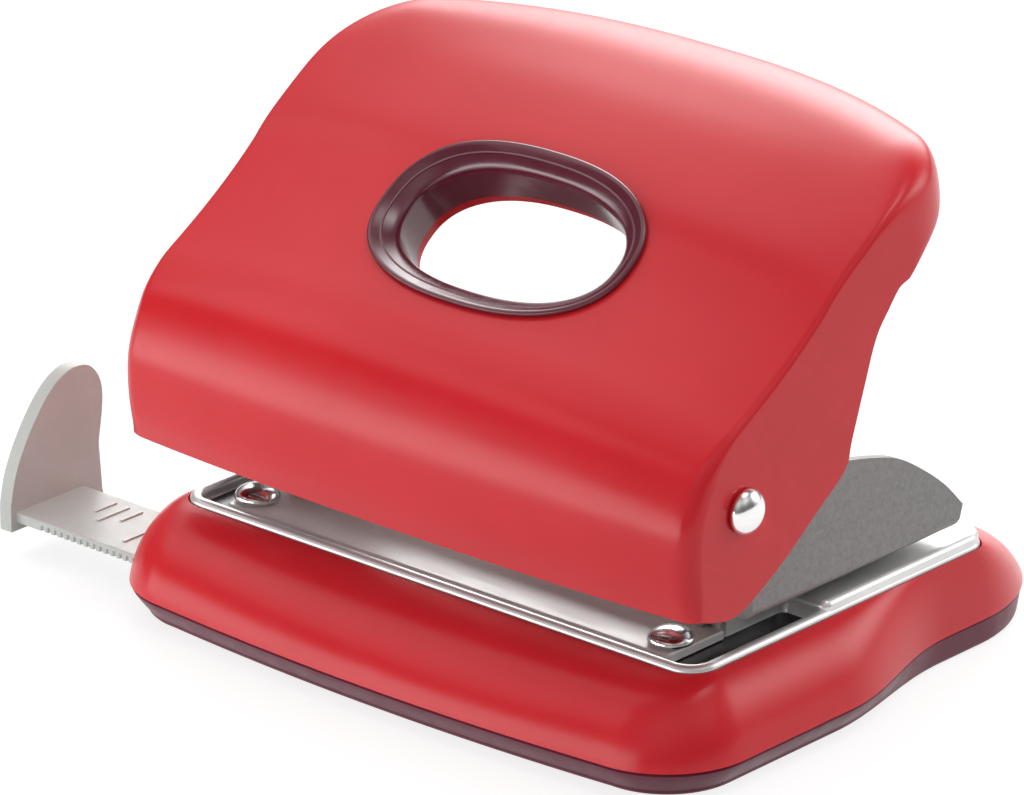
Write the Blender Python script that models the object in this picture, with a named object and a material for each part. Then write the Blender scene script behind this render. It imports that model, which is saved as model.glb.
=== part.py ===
"""Two hole punch: a hooded lever on a flat base with a chrome tray. Metres, +Z up.

X runs along the row of holes, +Y points to the user, and z = 0 is the desk.
The origin lies on the desk, under the middle of the tray.
"""
import math

import bmesh
import bpy
from mathutils import Vector

# Fits between pieces
FIT_GAP = 0.0003
RUN_GAP = 0.0005
OVERRUN = 0.002
EDGE_BEVEL = 0.0003

# Holes in the paper, whose spacing sets every width of the punch
PIN_SPACING = 0.080
PIN_DIAMETER = 0.0055
PIN_ROW = -0.008
PAPER_SLOT = 0.0021
DIE_RING_DIAMETER = 0.0096
DIE_RING_DEPTH = 0.0026

# Tray and its rim
TRAY_MARGIN = 0.0153
TRAY_WIDTH = PIN_SPACING + 2 * TRAY_MARGIN
TRAY_DEPTH = 0.074
TRAY_CORNER = 0.0052
RIM_TOP = 0.01845
RIM_WIDTH = 0.0021
RIM_ROUND = 0.0007
SHEET = 0.0008
FLOOR_TOP = 0.01625
TABLE_TOP = 0.01985
TABLE_START = -0.0050
TABLE_ROUND = 0.0012
TABLE_INSET = 0.0002
DIE_MARGIN = 0.0062
DIE_TABLE_WIDTH = PIN_SPACING + 2 * DIE_MARGIN
DIE_TABLE_START = -0.0202

# Base casing, from the parting line with the cover up to the tray
PARTING_HEIGHT = 0.005
BASE_MARGIN = 0.0077
BASE_WAIST_MARGIN = 0.0009
BASE_HALF_WIDTH = TRAY_WIDTH / 2 + BASE_MARGIN
BASE_HALF_WAIST = TRAY_WIDTH / 2 + BASE_WAIST_MARGIN
BASE_FRONT = 0.0522
BASE_BACK = 0.0617
BASE_FRONT_BOW = 0.0022
BASE_FRONT_RADIUS = 0.016
BASE_BACK_RADIUS = 0.0270
WAIST_START = -0.0077
WAIST_END = 0.0240
CASING_WALL = 0.0021
CASING_TOP = 0.01745
DECK_TOP = 0.01515
DECK_THICKNESS = 0.002
FLANK_BULGE = 0.72
FLANK_BULGE_BACK = 0.25
CHIP_SLOT_WIDTH = 0.015
CHIP_SLOT_START = -0.0165
CHIP_SLOT_END = 0.004

# Bottom cover
COVER_FLOOR = 0.0014
COVER_WALL = 0.0016
COVER_UNDERCUT = 0.0029
COVER_UNDERCUT_WAIST = 0.0008
COVER_EDGE = 0.0009
HINGE_RADIUS = 0.002
HINGE_PIN_DIAMETER = 0.0016
HINGE_LENGTH = 0.030
HINGE_KNUCKLE = 0.010
HINGE_STAND_OFF = 0.0013

# Feet
FOOT_RADIUS = 0.0042
FOOT_HEIGHT = 0.0016
FOOT_POST_RADIUS = 0.0030
FOOT_CLEARANCE = 0.0009
FOOT_FRONT_MARGIN = 0.0093
FOOT_BACK_MARGIN = 0.0163
FOOT_X = TRAY_WIDTH / 2 - FOOT_FRONT_MARGIN
FOOT_FRONT_Y = -0.0205
FOOT_BACK_X = TRAY_WIDTH / 2 - FOOT_BACK_MARGIN
FOOT_BACK_Y = 0.0400

# Side guide
GUIDE_WIDTH = 0.016
GUIDE_THICKNESS = 0.0018
GUIDE_MIDDLE = -0.0329
GUIDE_UNDERSIDE = 0.0053
GUIDE_OUTSIDE = 0.0255
GUIDE_REACH = BASE_HALF_WIDTH + GUIDE_OUTSIDE
GUIDE_TAIL = 0.014
GUIDE_RIB = 0.0006
FIN_THICKNESS = 0.0027
FIN_DROP = 0.0015
FIN_HEIGHT = 0.0250
FIN_WIDTH = 0.0220
FIN_FRONT_OVERHANG = 0.00125
RAIL_START = -0.050
RAIL_LENGTH = 0.034
RAIL_WALL = 0.0014
RAIL_LIP = 0.0022

# Punch bracket, folded from sheet steel
STEEL = 0.0015
YOKE_MARGIN = 0.0080
YOKE_OUTER = PIN_SPACING / 2 + YOKE_MARGIN
EAR_CLEARANCE = 0.0063
EAR_OUTER = YOKE_OUTER + EAR_CLEARANCE
EAR_BEND = 0.0018
THROAT = -0.0205
FOOT_PLATE_SETBACK = 0.0028
FOOT_PLATE_END = FOOT_PLATE_SETBACK - TRAY_DEPTH / 2
FOOT_PLATE_INSET = 0.0071
FOOT_PLATE_WIDTH = 2 * (EAR_OUTER - FOOT_PLATE_INSET)
EAR_NECK_HEIGHT = 0.0285
EAR_TIP = 0.0302
EAR_TIP_HEIGHT = 0.0024
EAR_NOSE_HEIGHT = 0.0202

# Pivot
PIVOT_Y = -0.0318
PIVOT_Z = 0.04535
AXLE_DIAMETER = 0.0044
AXLE_CAP_DIAMETER = 0.0074
AXLE_CAP_DOME = 0.0026
EAR_BOSS_RADIUS = 0.0055

# Hood of the lever
HOOD_TO_EAR = 0.0060
HOOD_WIDTH = 2 * (EAR_OUTER + HOOD_TO_EAR)
HOOD_WALL = 0.0023
HOOD_EDGE = 0.0031
HOOD_REACH = 0.0596
HOOD_RISE = 0.0645
HOOD_LOW = 0.02865
HOOD_FRONT = -0.0444
HOOD_CROWN = 0.0053
HOOD_BOW = 0.0025
HOOD_END_BOW = 0.0133
HOOD_MIDDLE_POWER = 2.5
HOOD_CORNER = 0.0108
HOOD_PULL = 0.0105
PULLED_UNDER_POINTS = 4
SLOPE_CLIMB_SHARE = 0.7090

# Finger hole through the hood, placed by shares of the hood's reach and rise
HOLE_Y = HOOD_FRONT + 0.43289 * HOOD_REACH
HOLE_Z = HOOD_LOW + 0.68062 * HOOD_RISE
HOLE_HALF_LENGTH = 0.0220
HOLE_HALF_HEIGHT = 0.0120
RING_LIP = 0.0034
RING_WALL = 0.0016
RING_PROUD = 0.0005
HOLE_POWER = 2.35
LINER_DEPTH = 0.011
LINER_THICKNESS = 0.0018
LINER_FRONT_CORNER = 0.0030
LINER_BACK_CORNER = 0.0100
LINER_START_SHARE = -0.2369
HOLLOW_END_SHARE = 0.4060

# Yoke inside the lever, and the rod that presses the pins
YOKE_FRONT = -0.0400
YOKE_LOW = 0.03435
YOKE_BOSS_RADIUS = 0.0062
YOKE_END_RADIUS = 0.0048
PRESS_ROD_DIAMETER = 0.006

# Pins, guide bushes, collars and springs
PIN_REST_TIP = 0.02225
COLLAR_DIAMETER = 0.0116
COLLAR_THICKNESS = 0.0011
BUSH_DIAMETER = 0.0076
BUSH_HEIGHT = 0.0055
BUSH_FLANGE_DIAMETER = 0.0102
BUSH_FLANGE_THICKNESS = 0.0008
SPRING_WIRE = 0.00075
SPRING_DIAMETER = 0.0104
SPRING_TURNS = 5
SPRING_POINTS_PER_TURN = 9

# Fasteners
SCREW_DIAMETER = 0.0030
SCREW_HEAD_DIAMETER = 0.0056
SCREW_HEAD_HEIGHT = 0.0018
RIVET_DIAMETER = 0.0040
RIVET_HEAD_DIAMETER = 0.0076
RIVET_HEAD_HEIGHT = 0.0024
RIVET_MARGIN = 0.0030
BOSS_RADIUS = 0.0032
TRAY_SCREW_FRONT_X = 0.009
TRAY_SCREW_FRONT_Y = -0.028
TRAY_SCREW_BACK_MARGIN = 0.0213
TRAY_SCREW_BACK_X = TRAY_WIDTH / 2 - TRAY_SCREW_BACK_MARGIN
TRAY_SCREW_BACK_Y = 0.024

ROUND_SEGMENTS = 24
SMALL_SEGMENTS = 16

# Side outline of the hood as shares of its reach in Y and its rise in Z, from the front's lower
# edge over the shoulder and the slope to the rolled free end.
HOOD_SKIN_shares = [
    (0.030, 0.012), (0.010, 0.075), (0.000, 0.150), (0.002, 0.235), (0.027, 0.312), (0.070, 0.384),
    (0.142, 0.442), (0.235, 0.491), (0.334, 0.546), (0.433, 0.608), (0.535, 0.681), (0.631, 0.758),
    (0.769, 0.849), (0.867, 0.907), (0.948, 0.938), (1.015, 0.938), (1.057, 0.910), (1.077, 0.853),
    (1.071, 0.815), (1.018, 0.772),
]
# Lower edge of the side walls, from the free end back to the front.
HOOD_UNDER_shares = [
    (0.940, 0.732), (0.859, 0.660), (0.778, 0.578), (0.701, 0.448), (0.651, 0.316), (0.624, 0.246),
    (0.510, 0.168), (0.362, 0.071), (0.203, -0.006), (0.104, 0.000),
]
# How much of the crown, of the front's bow and of the free end's bow each skin point takes, in the
# same order.
HOOD_CROWN_shares = [
    0.04, 0.04, 0.06, 0.15, 0.35, 0.60, 0.75, 0.82, 0.86, 0.80,
    0.74, 0.65, 0.53, 0.40, 0.40, 0.40, 0.40, 0.40, 0.40, 0.40,
]
HOOD_BOW_shares = [
    1.00, 1.05, 1.05, 1.02, 1.00, 0.85, 0.40, 0.15, 0, 0,
    0, 0, 0, 0, 0, 0, 0, 0, 0, 0,
]
HOOD_END_shares = [
    0, 0, 0, 0, 0, 0, 0, 0, 0, 0,
    0, 0, 0.26, 0.51, 0.76, 1, 1, 1, 1, 1,
]
# Where along the skin its rounded side edge starts and ends, and where the corner's pull grows.
DRAW_START_shares = (-0.05, 0.06)
DRAW_END_shares = (0.92, 1.0)
PULL_shares = (0.45, 0.75)
# Upper edge of an ear, from the nose back to the pivot, as shares of the way to the pivot and up.
EAR_TOP_shares = [
    (0.000, 0.190), (0.078, 0.430), (0.175, 0.652), (0.270, 0.824), (0.368, 0.921), (0.472, 0.995),
    (0.627, 1.092), (0.784, 1.222), (0.909, 1.370),
]
# Outline of the fin from its foot at the front over the top to its foot at the back.
FIN_shares = [
    (0.000, 0.000), (0.000, 0.190), (0.055, 0.385), (0.170, 0.590), (0.330, 0.790), (0.480, 0.920),
    (0.620, 0.985), (0.740, 1.000), (0.860, 0.975), (0.950, 0.900), (1.000, 0.790), (1.000, 0.640),
    (0.955, 0.400), (0.950, 0.250), (0.985, 0.060), (1.000, 0.000),
]

SLOPE = math.atan2(HOOD_RISE * SLOPE_CLIMB_SHARE, HOOD_REACH)
SLOPE_REACH = HOOD_REACH / math.cos(SLOPE)
LINER_START = SLOPE_REACH * LINER_START_SHARE
HOLLOW_END = SLOPE_REACH * HOLLOW_END_SHARE
SLOPE_ALONG = Vector((0, math.cos(SLOPE), math.sin(SLOPE)))
SLOPE_UP = Vector((0, -math.sin(SLOPE), math.cos(SLOPE)))
HOLE_CENTRE = Vector((0, HOLE_Y, HOLE_Z))
WEB_BOTTOM = TABLE_TOP + PAPER_SLOT
WEB_TOP = WEB_BOTTOM + STEEL
DECK_BOTTOM = DECK_TOP - DECK_THICKNESS
PIN_X = PIN_SPACING / 2
PRESS_ROD_BOTTOM = PIVOT_Z - PRESS_ROD_DIAMETER / 2
COLLAR_TOP = PRESS_ROD_BOTTOM - FIT_GAP
GROOVE_BOTTOM = COLLAR_TOP - 2 * COLLAR_THICKNESS - FIT_GAP
GROOVE_RADIUS = (PIN_DIAMETER - COLLAR_THICKNESS) / 2
WASHER_TOP = GROOVE_BOTTOM - FIT_GAP
BUSH_BOTTOM = WEB_TOP + FIT_GAP
HINGE_Y = BASE_BACK + HINGE_STAND_OFF
LINER_END = HOLLOW_END - FIT_GAP
SIDES = (("left", -1), ("right", 1))


def clear_scene():
    for item in list(bpy.data.objects):
        bpy.data.objects.remove(item, do_unlink=True)


def material(name, colour, roughness, metallic=0):
    made = bpy.data.materials.new(name)
    made.use_nodes = True
    shader = made.node_tree.nodes["Principled BSDF"]
    shader.inputs["Base Color"].default_value = (*colour, 1)
    shader.inputs["Roughness"].default_value = roughness
    shader.inputs["Metallic"].default_value = metallic
    return made


def make_materials():
    return {
        "red_plastic": material("red_plastic", (0.70, 0.025, 0.035), 0.38),
        "plum_plastic": material("plum_plastic", (0.085, 0.012, 0.035), 0.30),
        "chrome": material("chrome", (0.80, 0.80, 0.80), 0.12, 1),
        "grey_steel": material("grey_steel", (0.21, 0.20, 0.19), 0.5, 1),
        "tool_steel": material("tool_steel", (0.45, 0.45, 0.46), 0.3, 1),
        "guide_plastic": material("guide_plastic", (0.56, 0.58, 0.55), 0.45),
        "rubber": material("rubber", (0.02, 0.02, 0.02), 0.8),
        "screw_steel": material("screw_steel", (0.5, 0.5, 0.5), 0.3, 1),
    }


def new_object(name, mesh_maker, material_name):
    mesh = bpy.data.meshes.new(name)
    work = bmesh.new()
    mesh_maker(work)
    bmesh.ops.recalc_face_normals(work, faces=work.faces)
    work.to_mesh(mesh)
    work.free()
    made = bpy.data.objects.new(name, mesh)
    bpy.context.collection.objects.link(made)
    if material_name:
        mesh.materials.append(MATERIALS[material_name])
    return made


def shade(made, degrees=35):
    made.data.shade_smooth()
    made.data.set_sharp_from_angle(angle=math.radians(degrees))
    return made


def solid_of_rings(name, rings, material_name):
    """Closed body through rings of equal length, with a flat cap on the first and the last."""
    def fill(work):
        rows = [[work.verts.new(point) for point in ring] for ring in rings]
        count = len(rows[0])
        for row, after in zip(rows, rows[1:]):
            for i in range(count):
                j = (i + 1) % count
                work.faces.new((row[i], row[j], after[j], after[i]))
        work.faces.new(rows[0])
        work.faces.new(rows[-1])
    return new_object(name, fill, material_name)


def split_faces(made):
    """Turns twisted faces into flat triangles, so that cuts through them stay closed."""
    work = bmesh.new()
    work.from_mesh(made.data)
    bmesh.ops.triangulate(work, faces=work.faces)
    work.to_mesh(made.data)
    work.free()
    return made


def box(name, low, high, material_name=None):
    x0, y0, z0 = low
    x1, y1, z1 = high
    plan = [(x0, y0), (x1, y0), (x1, y1), (x0, y1)]
    rings = [[(x, y, z) for x, y in plan] for z in (z0, z1)]
    return solid_of_rings(name, rings, material_name)


def prism_x(name, outline, x0, x1, material_name=None):
    """Outline of (y, z) points pulled along X."""
    rings = [[(x, y, z) for y, z in outline] for x in (x0, x1)]
    return solid_of_rings(name, rings, material_name)


def prism_y(name, outline, y0, y1, material_name=None):
    """Outline of (x, z) points pulled along Y."""
    rings = [[(x, y, z) for x, z in outline] for y in (y0, y1)]
    return solid_of_rings(name, rings, material_name)


def turned(name, profile, start, direction, material_name=None, segments=ROUND_SEGMENTS):
    """Round body: profile holds (distance along, radius) pairs from one end to the other."""
    along = Vector(direction).normalized()
    side = along.orthogonal().normalized()
    other = along.cross(side)
    rings = []
    for distance, radius in profile:
        middle = Vector(start) + along * distance
        rings.append([
            middle + (side * math.cos(turn) + other * math.sin(turn)) * radius
            for turn in (2 * math.pi * i / segments for i in range(segments))
        ])
    return shade(solid_of_rings(name, rings, material_name))


def rod(name, start, direction, length, radius, material_name=None, segments=ROUND_SEGMENTS):
    return turned(name, [(0, radius), (length, radius)], start, direction, material_name, segments)


def combine(target, tool, operation):
    tool.hide_render = True
    tool.display_type = "WIRE"
    step = target.modifiers.new(tool.name, "BOOLEAN")
    step.operation = operation
    step.object = tool
    step.solver = "EXACT"
    return target


def cut(target, tool):
    return combine(target, tool, "DIFFERENCE")


def add(target, tool):
    return combine(target, tool, "UNION")


def soften(made, width=EDGE_BEVEL, segments=1, degrees=40):
    step = made.modifiers.new("edges", "BEVEL")
    step.width = width
    step.segments = segments
    step.limit_method = "ANGLE"
    step.angle_limit = math.radians(degrees)
    return made


def arc(middle, radius, start, end, steps):
    """Points of an arc in a plane, its angles in degrees."""
    points = []
    for i in range(steps + 1):
        turn = math.radians(start + (end - start) * i / steps)
        points.append((middle[0] + radius * math.cos(turn), middle[1] + radius * math.sin(turn)))
    return points


def smooth_path(points, steps):
    """Curve through open points, with the same number of steps between each pair."""
    vectors = [Vector(point) for point in points]
    ends = [2 * vectors[0] - vectors[1], *vectors, 2 * vectors[-1] - vectors[-2]]
    path = []
    for before, first, second, after in zip(ends, ends[1:], ends[2:], ends[3:]):
        for i in range(steps):
            t = i / steps
            path.append(0.5 * (
                2 * first + (second - before) * t
                + (2 * before - 5 * first + 4 * second - after) * t ** 2
                + (3 * first - before - 3 * second + after) * t ** 3
            ))
    path.append(vectors[-1])
    return path


def ease(value, start, end):
    share = min(max((value - start) / (end - start), 0), 1)
    return share * share * (3 - 2 * share)


class Outline:
    """Plan outline, symmetrical in X, that all rings of the base share point by point."""

    FRONT_STEPS = 3
    CORNER_STEPS = 5
    SIDE_STEPS = 10
    BACK_STEPS = 2

    def __init__(self, half_width, half_waist, front, back, front_radius, back_radius, bow=0):
        self.half_width = half_width
        self.half_waist = half_waist
        self.front = front
        self.back = back
        self.front_radius = front_radius
        self.back_radius = back_radius
        self.bow = bow

    def half(self):
        """Right half, from the middle of the front to the middle of the back."""
        corner_x = self.half_width - self.front_radius
        corner_y = -self.front + self.bow + self.front_radius
        points = []
        for i in range(self.FRONT_STEPS):
            share = i / self.FRONT_STEPS
            points.append((corner_x * share, -self.front + self.bow * share ** 2))
        points += arc((corner_x, corner_y), self.front_radius, -90, 0, self.CORNER_STEPS)
        back_y = self.back - self.back_radius
        for i in range(1, self.SIDE_STEPS):
            y = corner_y + (back_y - corner_y) * i / self.SIDE_STEPS
            points.append((self.side_at(y), y))
        back_x = self.half_waist - self.back_radius
        points += arc((back_x, back_y), self.back_radius, 0, 90, self.CORNER_STEPS)
        for i in range(1, self.BACK_STEPS + 1):
            points.append((back_x * (1 - i / self.BACK_STEPS), self.back))
        return points

    def side_at(self, y):
        narrowing = ease(y, WAIST_START, WAIST_END)
        return self.half_width + (self.half_waist - self.half_width) * narrowing

    def points(self):
        right = self.half()
        left = [(-x, y) for x, y in reversed(right[1:-1])]
        return right + left


def inset(outline, distance):
    """Outline moved inwards; distance is a length or a function of y."""
    moved = []
    count = len(outline)
    for i, (x, y) in enumerate(outline):
        before, after = outline[i - 1], outline[(i + 1) % count]
        along = Vector((after[0] - before[0], after[1] - before[1])).normalized()
        amount = distance(y) if callable(distance) else distance
        moved.append((x - along.y * amount, y + along.x * amount))
    return moved


def level(outline, z):
    return [(x, y, z) for x, y in outline]


def base_outline():
    return Outline(BASE_HALF_WIDTH, BASE_HALF_WAIST, BASE_FRONT, BASE_BACK,
                   BASE_FRONT_RADIUS, BASE_BACK_RADIUS, BASE_FRONT_BOW).points()


def tray_outline():
    half_width, half_depth = TRAY_WIDTH / 2, TRAY_DEPTH / 2
    return Outline(half_width, half_width, half_depth, half_depth, TRAY_CORNER, TRAY_CORNER).points()


def flank(lower, low_z, upper, high_z, steps=5):
    """Rings of a flank from the lower outline up to the upper one, flatter towards the back."""
    rings = []
    for i in range(steps + 1):
        turn = math.pi / 2 * (1 - i / steps)
        straight = 1 - i / steps
        ring = []
        for (lx, ly), (ux, uy) in zip(lower, upper):
            bulge = FLANK_BULGE + (FLANK_BULGE_BACK - FLANK_BULGE) * ease(ly, WAIST_END, BASE_BACK)
            out = bulge * math.sin(turn) + (1 - bulge) * straight
            up = bulge * math.cos(turn) + (1 - bulge) * (1 - straight)
            ring.append((ux + (lx - ux) * out, uy + (ly - uy) * out, low_z + (high_z - low_z) * up))
        rings.append(ring)
    return rings


def hinge_barrel(name, x0, x1, radius, material_name=None):
    return rod(name, (x0, HINGE_Y, PARTING_HEIGHT), (1, 0, 0), x1 - x0, radius, material_name,
               SMALL_SEGMENTS)


def foot_places():
    for row, x, y in (("front", FOOT_X, FOOT_FRONT_Y), ("back", FOOT_BACK_X, FOOT_BACK_Y)):
        for side, sign in SIDES:
            yield row + "_" + side, sign * x, y


def tray_screw_places():
    for side, sign in SIDES:
        yield "front_" + side, sign * TRAY_SCREW_FRONT_X, TRAY_SCREW_FRONT_Y
        yield "back_" + side, sign * TRAY_SCREW_BACK_X, TRAY_SCREW_BACK_Y


def make_casing():
    base = base_outline()
    seat = inset(tray_outline(), -FIT_GAP)
    inner_seat = inset(seat, CASING_WALL)
    inner_flank = flank(inset(base, CASING_WALL), PARTING_HEIGHT, inner_seat, DECK_BOTTOM)
    outer_flank = flank(base, PARTING_HEIGHT, seat, CASING_TOP)
    rings = list(reversed(inner_flank)) + outer_flank + [level(seat, DECK_TOP)]
    casing = shade(solid_of_rings("base_casing", rings, "red_plastic"), 30)
    add_guide_channel(casing)
    for place, x, y in foot_places():
        low = FOOT_HEIGHT + FIT_GAP
        post = rod("foot_post_" + place, (x, y, low), (0, 0, 1),
                   DECK_TOP - DECK_THICKNESS / 2 - low, FOOT_POST_RADIUS)
        add(casing, post)
    for side, sign in SIDES:
        middle = sign * PIN_X
        low = (middle - CHIP_SLOT_WIDTH / 2, CHIP_SLOT_START, DECK_BOTTOM - OVERRUN)
        high = (middle + CHIP_SLOT_WIDTH / 2, CHIP_SLOT_END, DECK_TOP + OVERRUN)
        cut(casing, box("chip_slot_" + side, low, high))
    for place, x, y in tray_screw_places():
        hole = rod("deck_hole_" + place, (x, y, DECK_BOTTOM - OVERRUN), (0, 0, 1),
                   DECK_THICKNESS + 2 * OVERRUN, SCREW_DIAMETER / 2 + FIT_GAP)
        cut(casing, hole)
    add_casing_knuckle(casing)
    return casing


def add_guide_channel(casing):
    """Rails under the deck that carry the side guide, and the mouth it leaves by."""
    rail_end = RAIL_START + RAIL_LENGTH
    lip_top = GUIDE_UNDERSIDE - FIT_GAP
    lip_bottom = lip_top - RAIL_WALL
    deck = DECK_TOP - DECK_THICKNESS / 2
    half = GUIDE_WIDTH / 2 + FIT_GAP
    for name, sign in (("front", -1), ("back", 1)):
        inner = GUIDE_MIDDLE + sign * half
        outer = inner + sign * RAIL_WALL
        lip = inner - sign * RAIL_LIP
        outline = [(outer, deck), (inner, deck), (inner, lip_top), (lip, lip_top),
                   (lip, lip_bottom), (outer, lip_bottom)]
        add(casing, prism_x("guide_rail_" + name, outline, RAIL_START, rail_end))
    rib_half = GUIDE_WIDTH / 8
    rib_low = GUIDE_UNDERSIDE + GUIDE_THICKNESS + FIT_GAP
    add(casing, box("guide_stop_rib", (RAIL_START, GUIDE_MIDDLE - rib_half, rib_low),
                    (rail_end, GUIDE_MIDDLE + rib_half, deck)))
    mouth_low = (-BASE_HALF_WIDTH - OVERRUN, GUIDE_MIDDLE - half, PARTING_HEIGHT - OVERRUN)
    mouth_high = (-BASE_HALF_WIDTH + 3 * CASING_WALL, GUIDE_MIDDLE + half, rib_low)
    cut(casing, box("guide_mouth", mouth_low, mouth_high))


def add_casing_knuckle(casing):
    half_knuckle = HINGE_KNUCKLE / 2
    cover_room = hinge_barrel("cover_knuckle_room", -HINGE_LENGTH / 2 - FIT_GAP,
                              HINGE_LENGTH / 2 + FIT_GAP, HINGE_RADIUS + RUN_GAP)
    cut(casing, cover_room)
    knuckle = hinge_barrel("casing_knuckle", -half_knuckle, half_knuckle, HINGE_RADIUS)
    add(casing, knuckle)
    web_low = (-half_knuckle, BASE_BACK - 2 * CASING_WALL, PARTING_HEIGHT)
    web_high = (half_knuckle, HINGE_Y, PARTING_HEIGHT + HINGE_RADIUS)
    add(casing, box("casing_knuckle_web", web_low, web_high))
    bore = hinge_barrel("casing_knuckle_bore", -half_knuckle - OVERRUN, half_knuckle + OVERRUN,
                        HINGE_PIN_DIAMETER / 2 + FIT_GAP)
    cut(casing, bore)


def cover_undercut(y):
    narrowing = ease(y, WAIST_START, WAIST_END)
    return COVER_UNDERCUT + (COVER_UNDERCUT_WAIST - COVER_UNDERCUT) * narrowing


def make_cover():
    base = base_outline()
    top = PARTING_HEIGHT - FIT_GAP
    outer_low = inset(base, cover_undercut)
    bottom = inset(outer_low, COVER_EDGE)
    inner_top = inset(base, COVER_WALL)
    inner_low = inset(bottom, COVER_WALL)
    rings = [
        level(inner_low, COVER_FLOOR),
        level(inner_top, top),
        level(inset(base, FIT_GAP), top),
        level(inset(base, lambda y: cover_undercut(y) / 2 + FIT_GAP), (top + COVER_EDGE) / 2),
        level(outer_low, COVER_EDGE),
        level(bottom, 0),
    ]
    cover = shade(solid_of_rings("bottom_cover", rings, "plum_plastic"), 30)
    for place, x, y in foot_places():
        hole = rod("cover_foot_hole_" + place, (x, y, -OVERRUN), (0, 0, 1),
                   COVER_FLOOR + 2 * OVERRUN, FOOT_RADIUS + FOOT_CLEARANCE)
        cut(cover, hole)
    half, gap = HINGE_KNUCKLE / 2, RUN_GAP
    room = hinge_barrel("casing_knuckle_room", -HINGE_LENGTH / 2 - FIT_GAP,
                        HINGE_LENGTH / 2 + FIT_GAP, HINGE_RADIUS + gap)
    cut(cover, room)
    for side, sign in SIDES:
        near, far = sorted((sign * (half + gap), sign * HINGE_LENGTH / 2))
        add(cover, hinge_barrel("cover_knuckle_" + side, near, far, HINGE_RADIUS))
        web_low = (near, BASE_BACK - 2 * COVER_WALL, PARTING_HEIGHT - HINGE_RADIUS)
        web_high = (far, HINGE_Y, PARTING_HEIGHT - FIT_GAP)
        add(cover, box("cover_knuckle_web_" + side, web_low, web_high))
    bore = hinge_barrel("cover_knuckle_bore", -HINGE_LENGTH / 2 - OVERRUN,
                        HINGE_LENGTH / 2 + OVERRUN, HINGE_PIN_DIAMETER / 2 + FIT_GAP)
    cut(cover, bore)
    return cover


def make_hinge_pin():
    return soften(hinge_barrel("cover_hinge_pin", -HINGE_LENGTH / 2, HINGE_LENGTH / 2,
                               HINGE_PIN_DIAMETER / 2, "tool_steel"), EDGE_BEVEL / 2)


def make_feet():
    for place, x, y in foot_places():
        chamfer = FOOT_HEIGHT / 4
        profile = [(0, FOOT_RADIUS - chamfer), (chamfer, FOOT_RADIUS), (FOOT_HEIGHT, FOOT_RADIUS)]
        turned("foot_pad_" + place, profile, (x, y, 0), (0, 0, 1), "rubber", SMALL_SEGMENTS)


def make_tray():
    """Chrome tray: a low floor with a bead round it, and a raised table that carries the paper."""
    edge = tray_outline()
    bottom = DECK_TOP + FIT_GAP
    rings = [
        level(edge, bottom),
        level(edge, RIM_TOP - RIM_ROUND),
        level(inset(edge, RIM_ROUND * 0.3), RIM_TOP - RIM_ROUND * 0.3),
        level(inset(edge, RIM_ROUND), RIM_TOP),
        level(inset(edge, RIM_WIDTH - RIM_ROUND), RIM_TOP),
        level(inset(edge, RIM_WIDTH), RIM_TOP - RIM_ROUND),
    ]
    tray = shade(solid_of_rings("die_tray", rings, "chrome"), 50)
    add(tray, make_table())
    half_inner = TRAY_WIDTH / 2 - RIM_WIDTH
    pocket_front = -TRAY_DEPTH / 2 + RIM_WIDTH
    pocket_back = DIE_TABLE_START
    cut(tray, box("tray_pocket", (-half_inner, pocket_front, FLOOR_TOP),
                  (half_inner, pocket_back, TABLE_TOP + OVERRUN)))
    for side, sign in SIDES:
        near, far = sorted((sign * DIE_TABLE_WIDTH / 2, sign * half_inner))
        cut(tray, box("tray_pocket_" + side, (near, pocket_back - OVERRUN, FLOOR_TOP),
                      (far, TABLE_START, TABLE_TOP + OVERRUN)))
    hollow_top = TABLE_TOP - SHEET
    cut(tray, box("die_table_hollow", (-DIE_TABLE_WIDTH / 2 + SHEET, DIE_TABLE_START + SHEET,
                                       bottom - OVERRUN),
                  (DIE_TABLE_WIDTH / 2 - SHEET, TABLE_START, hollow_top)))
    wall = SHEET + TABLE_INSET + TABLE_ROUND
    cut(tray, box("paper_table_hollow", (-TRAY_WIDTH / 2 + wall, TABLE_START - SHEET,
                                         bottom - OVERRUN),
                  (TRAY_WIDTH / 2 - wall, TRAY_DEPTH / 2 - wall, hollow_top)))
    for place, x, y in tray_screw_places():
        if y > TABLE_START:
            add(tray, rod("tray_boss_" + place, (x, y, bottom), (0, 0, 1),
                          (hollow_top + TABLE_TOP) / 2 - bottom, BOSS_RADIUS, None, SMALL_SEGMENTS))
        hole = rod("tray_screw_hole_" + place, (x, y, bottom - OVERRUN), (0, 0, 1),
                   OVERRUN + tray_screw_depth(y) + FIT_GAP, SCREW_DIAMETER / 2 + FIT_GAP, None,
                   SMALL_SEGMENTS)
        cut(tray, hole)
    for side, sign in SIDES:
        hole = rod("die_hole_" + side, (sign * PIN_X, PIN_ROW, bottom), (0, 0, 1),
                   TABLE_TOP - bottom + OVERRUN, DIE_RING_DIAMETER / 2 + FIT_GAP)
        cut(tray, hole)
        rivet_hole = rod("tray_rivet_hole_" + side, (*rivet_place(sign), bottom - OVERRUN),
                         (0, 0, 1), FLOOR_TOP - bottom + 2 * OVERRUN, RIVET_DIAMETER / 2 + FIT_GAP,
                         None, SMALL_SEGMENTS)
        cut(tray, rivet_hole)
    return tray


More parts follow.
